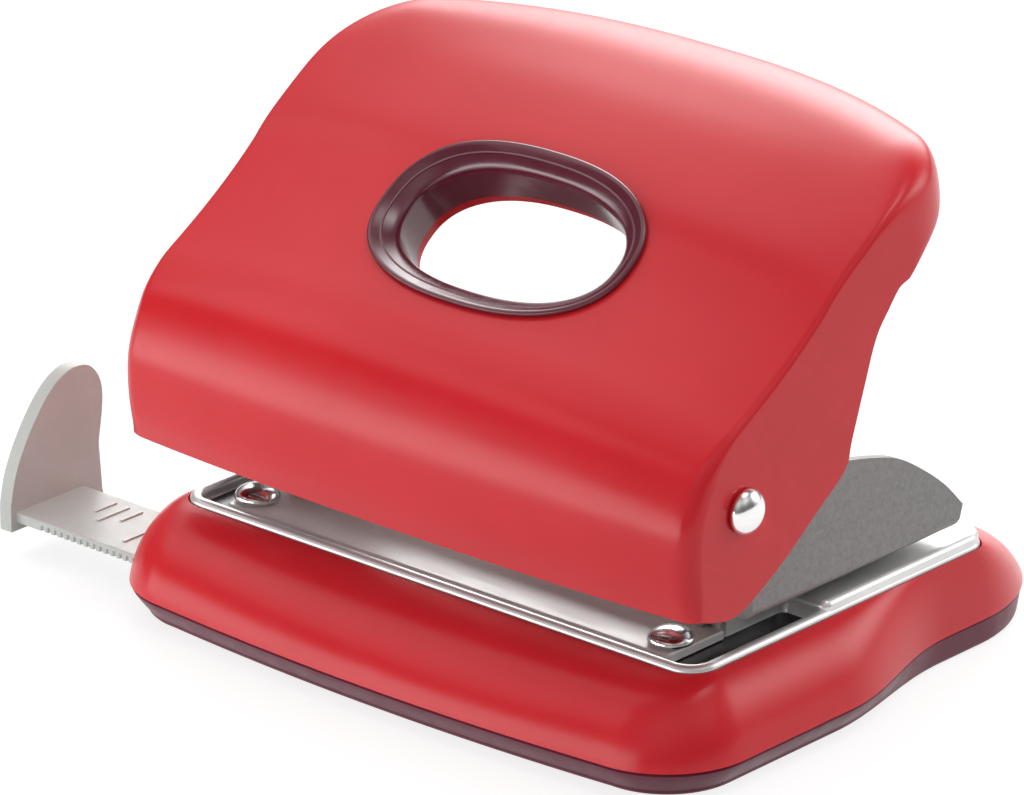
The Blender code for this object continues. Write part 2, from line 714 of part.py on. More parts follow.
def make_table():
    half_width, half_depth = TRAY_WIDTH / 2, TRAY_DEPTH / 2
    corner = TRAY_CORNER
    plan = [(-half_width, TABLE_START), (half_width, TABLE_START)]
    plan += arc((half_width - corner, half_depth - corner), corner, 0, 90, 6)
    plan += arc((-half_width + corner, half_depth - corner), corner, 90, 180, 6)
    plan = inset_table(plan, TABLE_INSET)
    low = (FLOOR_TOP + DECK_TOP) / 2
    rings = [
        level(plan, low),
        level(plan, TABLE_TOP - TABLE_ROUND),
        level(inset_table(plan, TABLE_ROUND * 0.3), TABLE_TOP - TABLE_ROUND * 0.3),
        level(inset_table(plan, TABLE_ROUND), TABLE_TOP),
    ]
    table = solid_of_rings("paper_table", rings, None)
    die_half = DIE_TABLE_WIDTH / 2
    die_low = (-die_half, DIE_TABLE_START, low)
    add(table, box("die_table", die_low, (die_half, TABLE_START + 2 * TABLE_ROUND, TABLE_TOP)))
    return table


def inset_table(plan, amount):
    """Plan of the table drawn in on its three outer sides and at its front edge."""
    middle_y = (TABLE_START + TRAY_DEPTH / 2) / 2
    half_width = TRAY_WIDTH / 2
    half_height = TRAY_DEPTH / 2 - middle_y
    return [(x * (1 - amount / half_width), middle_y + (y - middle_y) * (1 - amount / half_height))
            for x, y in plan]


def tray_screw_depth(y):
    """How far a tray screw reaches above the tray's underside."""
    return 0.6 * (TABLE_TOP - DECK_TOP) if y > TABLE_START else FLOOR_TOP - DECK_TOP - FIT_GAP


def rivet_place(sign):
    x = sign * (FOOT_PLATE_WIDTH / 2 - RIVET_MARGIN)
    return x, THROAT - RIVET_HEAD_DIAMETER - STEEL


def make_die_rings():
    for side, sign in SIDES:
        bottom = TABLE_TOP - DIE_RING_DEPTH
        ring = rod("die_ring_" + side, (sign * PIN_X, PIN_ROW, bottom), (0, 0, 1), DIE_RING_DEPTH,
                   DIE_RING_DIAMETER / 2, "tool_steel")
        bore = rod("die_ring_bore_" + side, (sign * PIN_X, PIN_ROW, bottom - OVERRUN), (0, 0, 1),
                   DIE_RING_DEPTH + 2 * OVERRUN, PIN_DIAMETER / 2 + FIT_GAP / 2)
        cut(ring, bore)


def ear_outline():
    """Side view of an ear, from its nose back to the pivot and down to the web's front end."""
    way = EAR_TIP - PIVOT_Y
    top = [Vector((EAR_TIP - way * along, WEB_BOTTOM + EAR_NOSE_HEIGHT * up))
           for along, up in EAR_TOP_shares]
    points = [(EAR_TIP - EAR_TIP_HEIGHT / 2, WEB_BOTTOM)]
    points += [tuple(point) for point in smooth_path(top, 3)]
    points += arc((PIVOT_Y, PIVOT_Z), EAR_BOSS_RADIUS, 75, 230, 13)
    points += [(THROAT - STEEL, EAR_NECK_HEIGHT), (THROAT - STEEL, WEB_BOTTOM)]
    return points


def u_outline(outer, thickness, bottom, top, bend, steps=4):
    """Section of a channel that opens upwards, with bends at its lower corners."""
    inner = outer - thickness
    inner_bend = bend - thickness / 2
    points = [(outer, top)]
    points += arc((outer - bend, bottom + bend), bend, 0, -90, steps)
    points += arc((-outer + bend, bottom + bend), bend, -90, -180, steps)
    points += [(-outer, top), (-inner, top)]
    low = bottom + thickness
    points += arc((-inner + inner_bend, low + inner_bend), inner_bend, 180, 270, steps)
    points += arc((inner - inner_bend, low + inner_bend), inner_bend, -90, 0, steps)
    points += [(inner, top)]
    return points


def make_bracket():
    top = PIVOT_Z + EAR_BOSS_RADIUS + OVERRUN
    channel = u_outline(EAR_OUTER, STEEL, WEB_BOTTOM, top, EAR_BEND)
    bracket = prism_y("punch_bracket", channel, THROAT - STEEL, EAR_TIP, "grey_steel")
    foot = FLOOR_TOP + FIT_GAP
    inner = EAR_OUTER - STEEL
    for side, sign in SIDES:
        near, far = sorted((sign * inner, sign * EAR_OUTER))
        add(bracket, box("ear_root_" + side, (near, PIVOT_Y - 2 * EAR_BOSS_RADIUS, WEB_TOP),
                         (far, THROAT - STEEL / 2, top)))
    half_foot = FOOT_PLATE_WIDTH / 2
    half_wall = half_foot - 2 * STEEL
    add(bracket, box("throat_wall", (-half_wall, THROAT - STEEL, foot),
                     (half_wall, THROAT, WEB_TOP)))
    add(bracket, box("foot_plate", (-half_foot, FOOT_PLATE_END, foot),
                     (half_foot, THROAT, foot + STEEL)))
    step = bracket.modifiers.new("ear outline", "BOOLEAN")
    step.operation = "INTERSECT"
    step.object = bracket_limits()
    for side, sign in SIDES:
        bush_hole = rod("bush_hole_" + side, (sign * PIN_X, PIN_ROW, WEB_BOTTOM - OVERRUN),
                        (0, 0, 1), STEEL + 2 * OVERRUN, PIN_DIAMETER / 2 + FIT_GAP)
        cut(bracket, bush_hole)
        rivet_hole = rod("foot_rivet_hole_" + side, (*rivet_place(sign), foot - OVERRUN), (0, 0, 1),
                         STEEL + 2 * OVERRUN, RIVET_DIAMETER / 2 + FIT_GAP, None, SMALL_SEGMENTS)
        cut(bracket, rivet_hole)
        near = min(sign * inner, sign * EAR_OUTER)
        cut(bracket, rod("ear_axle_hole_" + side, (near - OVERRUN, PIVOT_Y, PIVOT_Z), (1, 0, 0),
                         STEEL + 2 * OVERRUN, AXLE_DIAMETER / 2 + FIT_GAP))
    return shade(bracket, 30)


def bracket_limits():
    """Everything the bracket may fill: the ears' side view, and the web and foot under it."""
    limits = prism_x("bracket_limits", ear_outline(), -EAR_OUTER - OVERRUN, EAR_OUTER + OVERRUN)
    inner = EAR_OUTER - STEEL
    add(limits, box("foot_limits", (-inner, FOOT_PLATE_END - OVERRUN, DECK_TOP),
                    (inner, THROAT + OVERRUN, WEB_TOP)))
    limits.hide_render = True
    limits.display_type = "WIRE"
    return limits


def make_rivets():
    """Domed rivets that hold the bracket's foot on the tray."""
    for side, sign in SIDES:
        x, y = rivet_place(sign)
        plate_top = FLOOR_TOP + FIT_GAP + STEEL
        shank_low = DECK_TOP + FIT_GAP
        dome = dome_profile(plate_top + FIT_GAP - shank_low, RIVET_HEAD_DIAMETER / 2,
                            RIVET_HEAD_HEIGHT)
        profile = [(0, RIVET_DIAMETER / 2), (dome[0][0], RIVET_DIAMETER / 2)] + dome
        turned("bracket_rivet_" + side, profile, (x, y, shank_low), (0, 0, 1), "chrome")


def dome_profile(start, radius, height, steps=4):
    """Profile of a domed head that starts flat on its seat and ends at a small flat crown."""
    profile = [(start, radius * 0.94), (start + height * 0.16, radius)]
    for i in range(1, steps + 1):
        turn = math.pi / 2 * i / (steps + 0.5)
        profile.append((start + height * (0.16 + 0.84 * math.sin(turn)), radius * math.cos(turn)))
    return profile


def make_tray_screws():
    """Pan head screws that pull the tray down on the casing's deck."""
    for place, x, y in tray_screw_places():
        head_top = DECK_BOTTOM - FIT_GAP
        reach = DECK_TOP + FIT_GAP + tray_screw_depth(y) - FIT_GAP
        screw("tray_screw_" + place, Vector((x, y, head_top - SCREW_HEAD_HEIGHT)), Vector((0, 0, 1)),
              reach - head_top)


def screw(name, start, direction, shank_length):
    """Pan head screw with a cross recess; start is the middle of its head's face."""
    radius = SCREW_HEAD_DIAMETER / 2
    profile = [(0, radius * 0.72), (SCREW_HEAD_HEIGHT * 0.35, radius * 0.96),
               (SCREW_HEAD_HEIGHT * 0.6, radius), (SCREW_HEAD_HEIGHT, radius),
               (SCREW_HEAD_HEIGHT, SCREW_DIAMETER / 2),
               (SCREW_HEAD_HEIGHT + shank_length * 0.85, SCREW_DIAMETER / 2),
               (SCREW_HEAD_HEIGHT + shank_length, SCREW_DIAMETER / 2 * 0.7)]
    made = turned(name, profile, start, direction, "screw_steel", SMALL_SEGMENTS)
    side = direction.orthogonal().normalized()
    other = direction.cross(side)
    slot_half, slot_reach = SCREW_DIAMETER * 0.11, radius * 0.55
    for i, (along, across) in enumerate(((side, other), (other, side))):
        ring = [start + along * (a * slot_reach) + across * (b * slot_half)
                for a, b in ((-1, -1), (1, -1), (1, 1), (-1, 1))]
        deep = direction * SCREW_HEAD_HEIGHT * 0.55
        high = direction * OVERRUN
        rings = [[point - high for point in ring], [point + deep for point in ring]]
        cut(made, solid_of_rings(name + "_slot_" + str(i + 1), rings, None))
    return made


def make_axle():
    half = HOOD_WIDTH / 2
    axle = rod("pivot_axle", (-half, PIVOT_Y, PIVOT_Z), (1, 0, 0), 2 * half, AXLE_DIAMETER / 2,
               "tool_steel", SMALL_SEGMENTS)
    for side, sign in SIDES:
        dome = dome_profile(0, AXLE_CAP_DIAMETER / 2, AXLE_CAP_DOME)
        turned("pivot_cap_" + side, dome, (sign * (half + FIT_GAP), PIVOT_Y, PIVOT_Z), (sign, 0, 0),
               "chrome")
        spacer_start = EAR_OUTER + FIT_GAP
        length = half - HOOD_WALL - FIT_GAP - spacer_start
        spacer = rod("pivot_spacer_" + side, (sign * spacer_start, PIVOT_Y, PIVOT_Z), (sign, 0, 0),
                     length, AXLE_DIAMETER, "plum_plastic", SMALL_SEGMENTS)
        cut(spacer, rod("pivot_spacer_bore_" + side,
                        (sign * (spacer_start - OVERRUN), PIVOT_Y, PIVOT_Z), (sign, 0, 0),
                        length + 2 * OVERRUN, AXLE_DIAMETER / 2 + FIT_GAP, None, SMALL_SEGMENTS))
    return axle


def hood_point(y_share, z_share):
    return Vector((HOOD_FRONT + HOOD_REACH * y_share, HOOD_LOW + HOOD_RISE * z_share))


def skin_points(middle_share, steps=2):
    """Skin of the hood in (y, z) where middle_share is 1 at mid-plane and 0 at the side walls."""
    points = []
    tables = zip(HOOD_SKIN_shares, HOOD_CROWN_shares, HOOD_BOW_shares, HOOD_END_shares)
    for (y, z), crown, bow, end_bow in tables:
        point = hood_point(y, z)
        point.y += HOOD_CROWN * crown * middle_share
        point.x += (HOOD_END_BOW * end_bow - HOOD_BOW * bow) * middle_share
        points.append(point)
    return smooth_path(points, steps)


def offset_path(points, distance, closed=False):
    """Open or closed path in (y, z) moved to its right-hand side."""
    moved = []
    last = len(points) - 1
    for i, point in enumerate(points):
        before = points[i - 1] if (i or closed) else point
        after = points[(i + 1) % (last + 1)] if (i < last or closed) else point
        along = (after - before).normalized()
        moved.append(point + Vector((along.y, -along.x)) * distance)
    return moved


def hood_stations(half_width, edge):
    """Places along X with the amount by which each section is drawn in there."""
    plain = [(half_width - edge) * i / 4 for i in range(5)]
    turns = [math.pi / 2 * i / 3 for i in range(1, 4)]
    rounded = [(half_width - edge + edge * math.sin(turn), edge * (1 - math.cos(turn)))
               for turn in turns]
    right = [(x, 0) for x in plain] + rounded
    left = [(-x, draw) for x, draw in reversed(right[1:])]
    return left + right


def middle_share_at(x):
    return 1 - abs(2 * x / HOOD_WIDTH) ** HOOD_MIDDLE_POWER


def hood_section(x, draw):
    """Closed section of the hood, its skin drawn in by a length that fades out at both ends."""
    skin = skin_points(middle_share_at(x))
    inner = offset_path(skin, draw)
    pull = Vector((SLOPE_ALONG.y, SLOPE_ALONG.z)) * corner_pull(x)
    section = []
    for i, (outside, inside) in enumerate(zip(skin, inner)):
        along = i / (len(skin) - 1)
        weight = min(ease(along, *DRAW_START_shares), 1 - ease(along, *DRAW_END_shares))
        section.append(outside.lerp(inside, weight) - pull * ease(along, *PULL_shares))
    for i, (y, z) in enumerate(HOOD_UNDER_shares):
        section.append(hood_point(y, z) - pull * max(1 - (i + 1) / PULLED_UNDER_POINTS, 0))
    return [(x, point.x, point.y) for point in section]


def corner_pull(x):
    """How far the free end's rounded corner draws the section at x back along the slope."""
    corner = max(abs(x) - (HOOD_WIDTH / 2 - HOOD_CORNER), 0) / HOOD_CORNER
    return HOOD_PULL * (1 - math.sqrt(max(1 - corner ** 2, 0)))


def cavity_section(x):
    """Section of the hood's hollow, which runs out below it."""
    skin = offset_path(skin_points(middle_share_at(x)), HOOD_WALL)
    hollow_end = HOLLOW_END + HOOD_END_BOW * SLOPE_ALONG.y * middle_share_at(x) - corner_pull(x)
    kept = []
    for first, second in zip(skin, skin[1:]):
        kept.append(first)
        here, after = slope_along(first), slope_along(second)
        if after > hollow_end:
            break
    kept.append(first.lerp(second, (hollow_end - here) / (after - here)))
    slope_down = -Vector((SLOPE_UP.y, SLOPE_UP.z))
    out = kept[-1] + slope_down * HOOD_RISE
    under = [out, Vector((kept[0].x, HOOD_LOW - HOOD_RISE / 4))]
    return [(x, point.x, point.y) for point in resampled(kept, 24) + under]


def slope_along(point):
    """Place along the slope of a (y, z) point, from the hole's centre."""
    return (point.x - HOLE_Y) * SLOPE_ALONG.y + (point.y - HOLE_Z) * SLOPE_ALONG.z


def resampled(path, steps):
    """The same path with a fixed number of equal steps."""
    lengths = [0]
    for first, second in zip(path, path[1:]):
        lengths.append(lengths[-1] + (second - first).length)
    points = [path[0]]
    i = 0
    for step in range(1, steps):
        target = lengths[-1] * step / steps
        while lengths[i + 1] < target:
            i += 1
        points.append(path[i].lerp(path[i + 1], (target - lengths[i]) / (lengths[i + 1] - lengths[i])))
    return points + [path[-1]]


def make_hood():
    half = HOOD_WIDTH / 2
    sections = [hood_section(x, draw) for x, draw in hood_stations(half, HOOD_EDGE)]
    hood = shade(split_faces(solid_of_rings("lever_hood", sections, "red_plastic")), 30)
    inner = half - HOOD_WALL
    stations = hood_stations(inner, HOOD_EDGE / 4)
    cavity = solid_of_rings("hood_cavity", [cavity_section(x) for x, _ in stations], None)
    cut(hood, split_faces(cavity))
    hole = slope_solid("hood_hole", ring_outline(RING_WALL + FIT_GAP), -HOOD_RISE / 2, HOOD_RISE / 2)
    cut(hood, hole)
    for side, sign in SIDES:
        cut(hood, rod("hood_axle_hole_" + side, (sign * (half + OVERRUN), PIVOT_Y, PIVOT_Z),
                      (-sign, 0, 0), HOOD_WALL + 2 * OVERRUN, AXLE_DIAMETER / 2 + FIT_GAP, None,
                      SMALL_SEGMENTS))
    for place, x, along in liner_screw_places():
        low = -LINER_DEPTH + LINER_THICKNESS + FIT_GAP
        start = slope_point(x, along, low)
        length = skin_height(x, along) - HOOD_WALL / 2 - low
        add(hood, rod("hood_boss_" + place, start, SLOPE_UP, length, BOSS_RADIUS, None,
                      SMALL_SEGMENTS))
        cut(hood, rod("hood_boss_bore_" + place, start - SLOPE_UP * OVERRUN, SLOPE_UP,
                      OVERRUN + liner_screw_reach(), SCREW_DIAMETER / 2 + FIT_GAP, None,
                      SMALL_SEGMENTS))
    return hood


def slope_point(x, along, up):
    return HOLE_CENTRE + Vector((x, 0, 0)) + SLOPE_ALONG * along + SLOPE_UP * up


def ring_outline(grow, count=36):
    """Outline of the finger hole on the slope, grown outwards by a length."""
    points = []
    for i in range(count):
        turn = 2 * math.pi * i / count
        c, s = math.cos(turn), math.sin(turn)
        x = abs(c) ** (2 / HOLE_POWER) * math.copysign(HOLE_HALF_LENGTH + grow, c)
        along = abs(s) ** (2 / HOLE_POWER) * math.copysign(HOLE_HALF_HEIGHT + grow, s)
        points.append((x, along))
    return points


def slope_solid(name, outline, low, high, material_name=None):
    rings = [[slope_point(x, along, up) for x, along in outline] for up in (low, high)]
    return solid_of_rings(name, rings, material_name)


def skin_height(x, along):
    """Height of the hood's skin above the plane through the hole's centre."""
    origin = Vector((HOLE_Y, HOLE_Z))
    flat = Vector((SLOPE_ALONG.y, SLOPE_ALONG.z))
    up = Vector((SLOPE_UP.y, SLOPE_UP.z))
    path = [((point - origin).dot(flat), (point - origin).dot(up))
            for point in skin_points(middle_share_at(x))]
    for (a0, h0), (a1, h1) in zip(path, path[1:]):
        if a0 <= along <= a1:
            return h0 + (h1 - h0) * (along - a0) / (a1 - a0)
    return 0


def make_hole_ring():
    """Moulded ring in the finger hole: a lip on the hood's skin and a sleeve down to the liner."""
    sleeve_low = -LINER_DEPTH + LINER_THICKNESS + FIT_GAP
    def on_skin(grow, height):
        return [slope_point(x, along, skin_height(x, along) + height)
                for x, along in ring_outline(grow)]
    def flat(grow, height):
        return [slope_point(x, along, height) for x, along in ring_outline(grow)]
    lip_low = FIT_GAP
    rings = [
        flat(RING_WALL, sleeve_low),
        on_skin(RING_WALL, -HOOD_WALL / 2),
        on_skin(RING_WALL, lip_low),
        on_skin(RING_LIP, lip_low),
        on_skin(RING_LIP, lip_low + RING_PROUD * 0.6),
        on_skin(RING_LIP * 0.75, lip_low + RING_PROUD * 1.6),
        on_skin(RING_LIP * 0.45, lip_low + RING_PROUD * 1.4),
        on_skin(RING_LIP * 0.15, lip_low - RING_PROUD),
        on_skin(0, -HOOD_WALL),
        flat(0, sleeve_low),
    ]
    def fill(work):
        rows = [[work.verts.new(point) for point in ring] for ring in rings]
        count = len(rows[0])
        for row, after in zip(rows, rows[1:] + rows[:1]):
            for i in range(count):
                j = (i + 1) % count
                work.faces.new((row[i], row[j], after[j], after[i]))
    return shade(new_object("hole_ring", fill, "plum_plastic"), 40)


def liner_screw_places():
    x = HOLE_HALF_LENGTH + (HOOD_WIDTH / 2 - HOLE_HALF_LENGTH) * 0.45
    for side, sign in SIDES:
        yield "front_" + side, sign * x, LINER_START * 0.7
        yield "back_" + side, sign * x, LINER_END * 0.7


def liner_screw_reach():
    """Depth of a liner screw in its boss."""
    return (LINER_DEPTH - LINER_THICKNESS - HOOD_WALL) / 2


def make_liner():
    half = HOOD_WIDTH / 2 - HOOD_WALL - FIT_GAP
    outline = []
    for cx, cy, start in ((half, LINER_START, -90), (half, LINER_END, 0), (-half, LINER_END, 90),
                          (-half, LINER_START, 180)):
        corner = LINER_FRONT_CORNER if cy == LINER_START else LINER_BACK_CORNER
        inward_x = cx - math.copysign(corner, cx)
        inward_y = cy + (corner if cy == LINER_START else -corner)
        outline += arc((inward_x, inward_y), corner, start, start + 90, 4)
    liner = slope_solid("lever_liner", outline, -LINER_DEPTH, -LINER_DEPTH + LINER_THICKNESS,
                        "red_plastic")
    cut(liner, slope_solid("liner_hole", ring_outline(0), -HOOD_RISE, HOOD_RISE))
    for place, x, along in liner_screw_places():
        start = slope_point(x, along, -LINER_DEPTH - OVERRUN)
        cut(liner, rod("liner_screw_hole_" + place, start, SLOPE_UP, LINER_THICKNESS + 2 * OVERRUN,
                       SCREW_DIAMETER / 2 + FIT_GAP, None, SMALL_SEGMENTS))
    return liner


def make_liner_screws():
    for place, x, along in liner_screw_places():
        start = slope_point(x, along, -LINER_DEPTH - FIT_GAP - SCREW_HEAD_HEIGHT)
        shank = FIT_GAP + LINER_THICKNESS + liner_screw_reach()
        screw("liner_screw_" + place, start, SLOPE_UP, shank)


def cheek_outline():
    """Side view of one cheek of the yoke, from the front plate past the pivot to the press rod."""
    points = [(YOKE_FRONT, YOKE_LOW)]
    points += [(PIVOT_Y, YOKE_LOW + STEEL)]
    points += arc((PIN_ROW, PIVOT_Z), YOKE_END_RADIUS, -80, 90, 10)
    points += arc((PIVOT_Y, PIVOT_Z), YOKE_BOSS_RADIUS, 85, 130, 4)
    points += [(YOKE_FRONT, PIVOT_Z + YOKE_END_RADIUS / 2)]
    return points


def make_yoke():
    top = PIVOT_Z + YOKE_END_RADIUS / 2
    yoke = box("lever_yoke", (-YOKE_OUTER, YOKE_FRONT, YOKE_LOW), (YOKE_OUTER, YOKE_FRONT + STEEL, top),
               "tool_steel")
    for side, sign in SIDES:
        near, far = sorted((sign * (YOKE_OUTER - STEEL), sign * YOKE_OUTER))
        add(yoke, prism_x("yoke_cheek_" + side, cheek_outline(), near, far))
        for name, y, diameter in (("axle", PIVOT_Y, AXLE_DIAMETER),
                                  ("rod", PIN_ROW, PRESS_ROD_DIAMETER)):
            cut(yoke, rod(f"yoke_{name}_hole_{side}", (near - OVERRUN, y, PIVOT_Z), (1, 0, 0),
                          STEEL + 2 * OVERRUN, diameter / 2 + FIT_GAP))
    for place, x in yoke_screw_places():
        cut(yoke, rod("yoke_screw_hole_" + place, (x, YOKE_FRONT - OVERRUN, yoke_screw_z()), (0, 1, 0),
                      STEEL + 2 * OVERRUN, SCREW_DIAMETER / 2 + FIT_GAP, None, SMALL_SEGMENTS))
    return yoke


def yoke_screw_z():
    return (YOKE_LOW + PIVOT_Z) / 2


def yoke_screw_places():
    for side, sign in SIDES:
        yield side, sign * YOKE_OUTER * 0.6


def front_skin_y(x):
    """Place of the hood's front skin at the height of the yoke's screws."""
    path = skin_points(middle_share_at(x))
    for first, second in zip(path, path[1:]):
        if first.y <= yoke_screw_z() <= second.y:
            return first.x
    return HOOD_FRONT


def make_yoke_screws(hood):
    """Screws that fix the yoke's front plate to bosses on the inside of the hood's front."""
    for place, x in yoke_screw_places():
        skin = front_skin_y(x)
        boss_end = YOKE_FRONT - FIT_GAP
        start = (x, skin + HOOD_WALL / 2, yoke_screw_z())
        add(hood, rod("yoke_boss_" + place, start, (0, 1, 0), boss_end - skin - HOOD_WALL / 2,
                      BOSS_RADIUS, None, SMALL_SEGMENTS))
        reach = boss_end - skin - HOOD_WALL
        cut(hood, rod("yoke_boss_bore_" + place, (x, boss_end - reach, yoke_screw_z()), (0, 1, 0),
                      reach + OVERRUN, SCREW_DIAMETER / 2 + FIT_GAP, None, SMALL_SEGMENTS))
        head = YOKE_FRONT + STEEL + FIT_GAP + SCREW_HEAD_HEIGHT
        screw("yoke_screw_" + place, Vector((x, head, yoke_screw_z())), Vector((0, -1, 0)),
              STEEL + FIT_GAP + reach)


def make_press_rod():
    half = YOKE_OUTER + RUN_GAP
    press_rod = rod("press_rod", (-half, PIN_ROW, PIVOT_Z), (1, 0, 0), 2 * half, PRESS_ROD_DIAMETER / 2,
                    "tool_steel")
    return soften(press_rod)


def make_pins():
    """Each punch pin with its washer, clip, guide bush and return spring."""
    for side, sign in SIDES:
        x = sign * PIN_X
        make_pin(side, x)
        make_ring("spring_washer_" + side, x, WASHER_TOP, -COLLAR_THICKNESS, COLLAR_DIAMETER / 2,
                  PIN_DIAMETER / 2 + FIT_GAP, "tool_steel")
        make_clip(side, x)
        make_bush(side, x)
        make_spring("return_spring_" + side, x, BUSH_BOTTOM + BUSH_FLANGE_THICKNESS + FIT_GAP,
                    WASHER_TOP - COLLAR_THICKNESS - FIT_GAP)


def make_pin(side, x):
    """Pin with a notched cutting tip and a groove for its clip."""
    pin = rod("punch_pin_" + side, (x, PIN_ROW, PIN_REST_TIP), (0, 0, 1), COLLAR_TOP - PIN_REST_TIP,
              PIN_DIAMETER / 2, "tool_steel")
    notch = [(-PIN_DIAMETER, PIN_REST_TIP - OVERRUN), (PIN_DIAMETER, PIN_REST_TIP - OVERRUN),
             (0, PIN_REST_TIP + PIN_DIAMETER * 0.14)]
    cut(pin, prism_y("pin_tip_" + side, [(x + dx, z) for dx, z in notch],
                     PIN_ROW - PIN_DIAMETER, PIN_ROW + PIN_DIAMETER))
    groove = rod("pin_groove_" + side, (x, PIN_ROW, GROOVE_BOTTOM), (0, 0, 1), COLLAR_THICKNESS,
                 PIN_DIAMETER)
    cut(groove, rod("pin_groove_core_" + side, (x, PIN_ROW, GROOVE_BOTTOM - OVERRUN), (0, 0, 1),
                    COLLAR_THICKNESS + 2 * OVERRUN, GROOVE_RADIUS))
    cut(pin, groove)


def make_clip(side, x):
    """Open clip in the pin's groove, above the washer."""
    clip = make_ring("pin_clip_" + side, x, GROOVE_BOTTOM + FIT_GAP / 2, COLLAR_THICKNESS - FIT_GAP,
                     COLLAR_DIAMETER * 0.42, GROOVE_RADIUS + FIT_GAP / 2, "screw_steel")
    mouth = PIN_DIAMETER * 0.38
    cut(clip, box("clip_mouth_" + side, (x - mouth, PIN_ROW, GROOVE_BOTTOM - OVERRUN),
                  (x + mouth, PIN_ROW + COLLAR_DIAMETER, GROOVE_BOTTOM + OVERRUN)))


def make_bush(side, x):
    profile = [(0, BUSH_FLANGE_DIAMETER / 2), (BUSH_FLANGE_THICKNESS, BUSH_FLANGE_DIAMETER / 2),
               (BUSH_FLANGE_THICKNESS, BUSH_DIAMETER / 2), (BUSH_HEIGHT, BUSH_DIAMETER / 2)]
    bush = turned("guide_bush_" + side, profile, (x, PIN_ROW, BUSH_BOTTOM), (0, 0, 1), "tool_steel")
    cut(bush, rod("guide_bush_bore_" + side, (x, PIN_ROW, BUSH_BOTTOM - OVERRUN), (0, 0, 1),
                  BUSH_HEIGHT + 2 * OVERRUN, PIN_DIAMETER / 2 + FIT_GAP))


def make_ring(name, x, z, height, outer, inner, material_name):
    ring = rod(name, (x, PIN_ROW, z), (0, 0, math.copysign(1, height)), abs(height), outer,
               material_name, SMALL_SEGMENTS)
    low = min(z, z + height) - OVERRUN
    cut(ring, rod(name + "_bore", (x, PIN_ROW, low), (0, 0, 1), abs(height) + 2 * OVERRUN, inner, None,
                  SMALL_SEGMENTS))
    return ring


def make_spring(name, x, low, high):
    """Compression spring as one helix of round wire; it prints its least gap between turns."""
    radius = (SPRING_DIAMETER - SPRING_WIRE) / 2
    rise = high - low - SPRING_WIRE
    count = SPRING_TURNS * SPRING_POINTS_PER_TURN
    curve = bpy.data.curves.new(name, "CURVE")
    curve.dimensions = "3D"
    curve.bevel_depth = SPRING_WIRE / 2
    curve.bevel_resolution = 1
    curve.use_fill_caps = True
    spline = curve.splines.new("POLY")
    spline.points.add(count)
    for i, point in enumerate(spline.points):
        turn = 2 * math.pi * SPRING_TURNS * i / count
        z = low + SPRING_WIRE / 2 + rise * i / count
        point.co = (x + radius * math.cos(turn), PIN_ROW + radius * math.sin(turn), z, 1)
    made = bpy.data.objects.new(name, curve)
    bpy.context.collection.objects.link(made)
    curve.materials.append(MATERIALS["screw_steel"])
    print(name, "least gap between turns in mm:", round((rise / SPRING_TURNS - SPRING_WIRE) / 0.001, 3))
    return made


def make_guide():
    """Side guide: a flat bar that slides in the base, with an upright fin at its outer end."""
    low, high = GUIDE_UNDERSIDE, GUIDE_UNDERSIDE + GUIDE_THICKNESS
    near, far = GUIDE_MIDDLE - GUIDE_WIDTH / 2, GUIDE_MIDDLE + GUIDE_WIDTH / 2
    guide = box("side_guide", (-GUIDE_REACH - FIN_THICKNESS / 2, near, low), (GUIDE_TAIL, far, high),
                "guide_plastic")
    fin_low = GUIDE_UNDERSIDE - FIN_DROP
    fin_front = near - FIN_FRONT_OVERHANG
    corners = [Vector((fin_front + FIN_WIDTH * y, fin_low + FIN_HEIGHT * z)) for y, z in FIN_shares]
    curve = smooth_path(corners[1:-3], 2)
    outline = [corners[0], *curve, *corners[-2:]]
    fin = prism_x("guide_fin", [tuple(point) for point in outline], -GUIDE_REACH - FIN_THICKNESS,
                  -GUIDE_REACH)
    add(guide, fin)
    return shade(soften(guide, EDGE_BEVEL), 30)


def hang_on(empty_name, place, members):
    """Empty on a joint's axis that carries the pieces of one moving body."""
    empty = bpy.data.objects.new(empty_name, None)
    bpy.context.collection.objects.link(empty)
    empty.location = place
    for member in members:
        member.parent = empty
        member.location = -Vector(place)


def pieces_named(*starts):
    return [item for item in bpy.data.objects
            if item.type in ("MESH", "CURVE") and item.name.startswith(starts)
            and not item.hide_render]


def hang_moving_bodies():
    pivot = (0, PIVOT_Y, PIVOT_Z)
    hang_on("lever_axis", pivot, pieces_named("lever_", "hole_ring", "liner_screw", "yoke_screw_",
                                              "press_rod"))
    hang_on("guide_axis", (-GUIDE_REACH, GUIDE_MIDDLE, GUIDE_UNDERSIDE), pieces_named("side_guide"))
    hang_on("cover_axis", (0, HINGE_Y, PARTING_HEIGHT), pieces_named("bottom_cover"))
    for side, sign in SIDES:
        hang_on("pin_axis_" + side, (sign * PIN_X, PIN_ROW, COLLAR_TOP),
                pieces_named("punch_pin_" + side, "pin_clip_" + side, "spring_washer_" + side))


clear_scene()
MATERIALS = make_materials()
make_casing()
make_cover()
make_hinge_pin()
make_feet()
make_tray()
make_die_rings()
make_bracket()
make_rivets()
make_tray_screws()
make_axle()
HOOD = make_hood()
make_hole_ring()
make_liner()
make_liner_screws()
make_yoke()
make_yoke_screws(HOOD)
make_press_rod()
make_pins()
make_guide()
hang_moving_bodies()
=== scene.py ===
"""Looks of the two hole punch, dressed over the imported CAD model. Metres, +Z up."""
import math

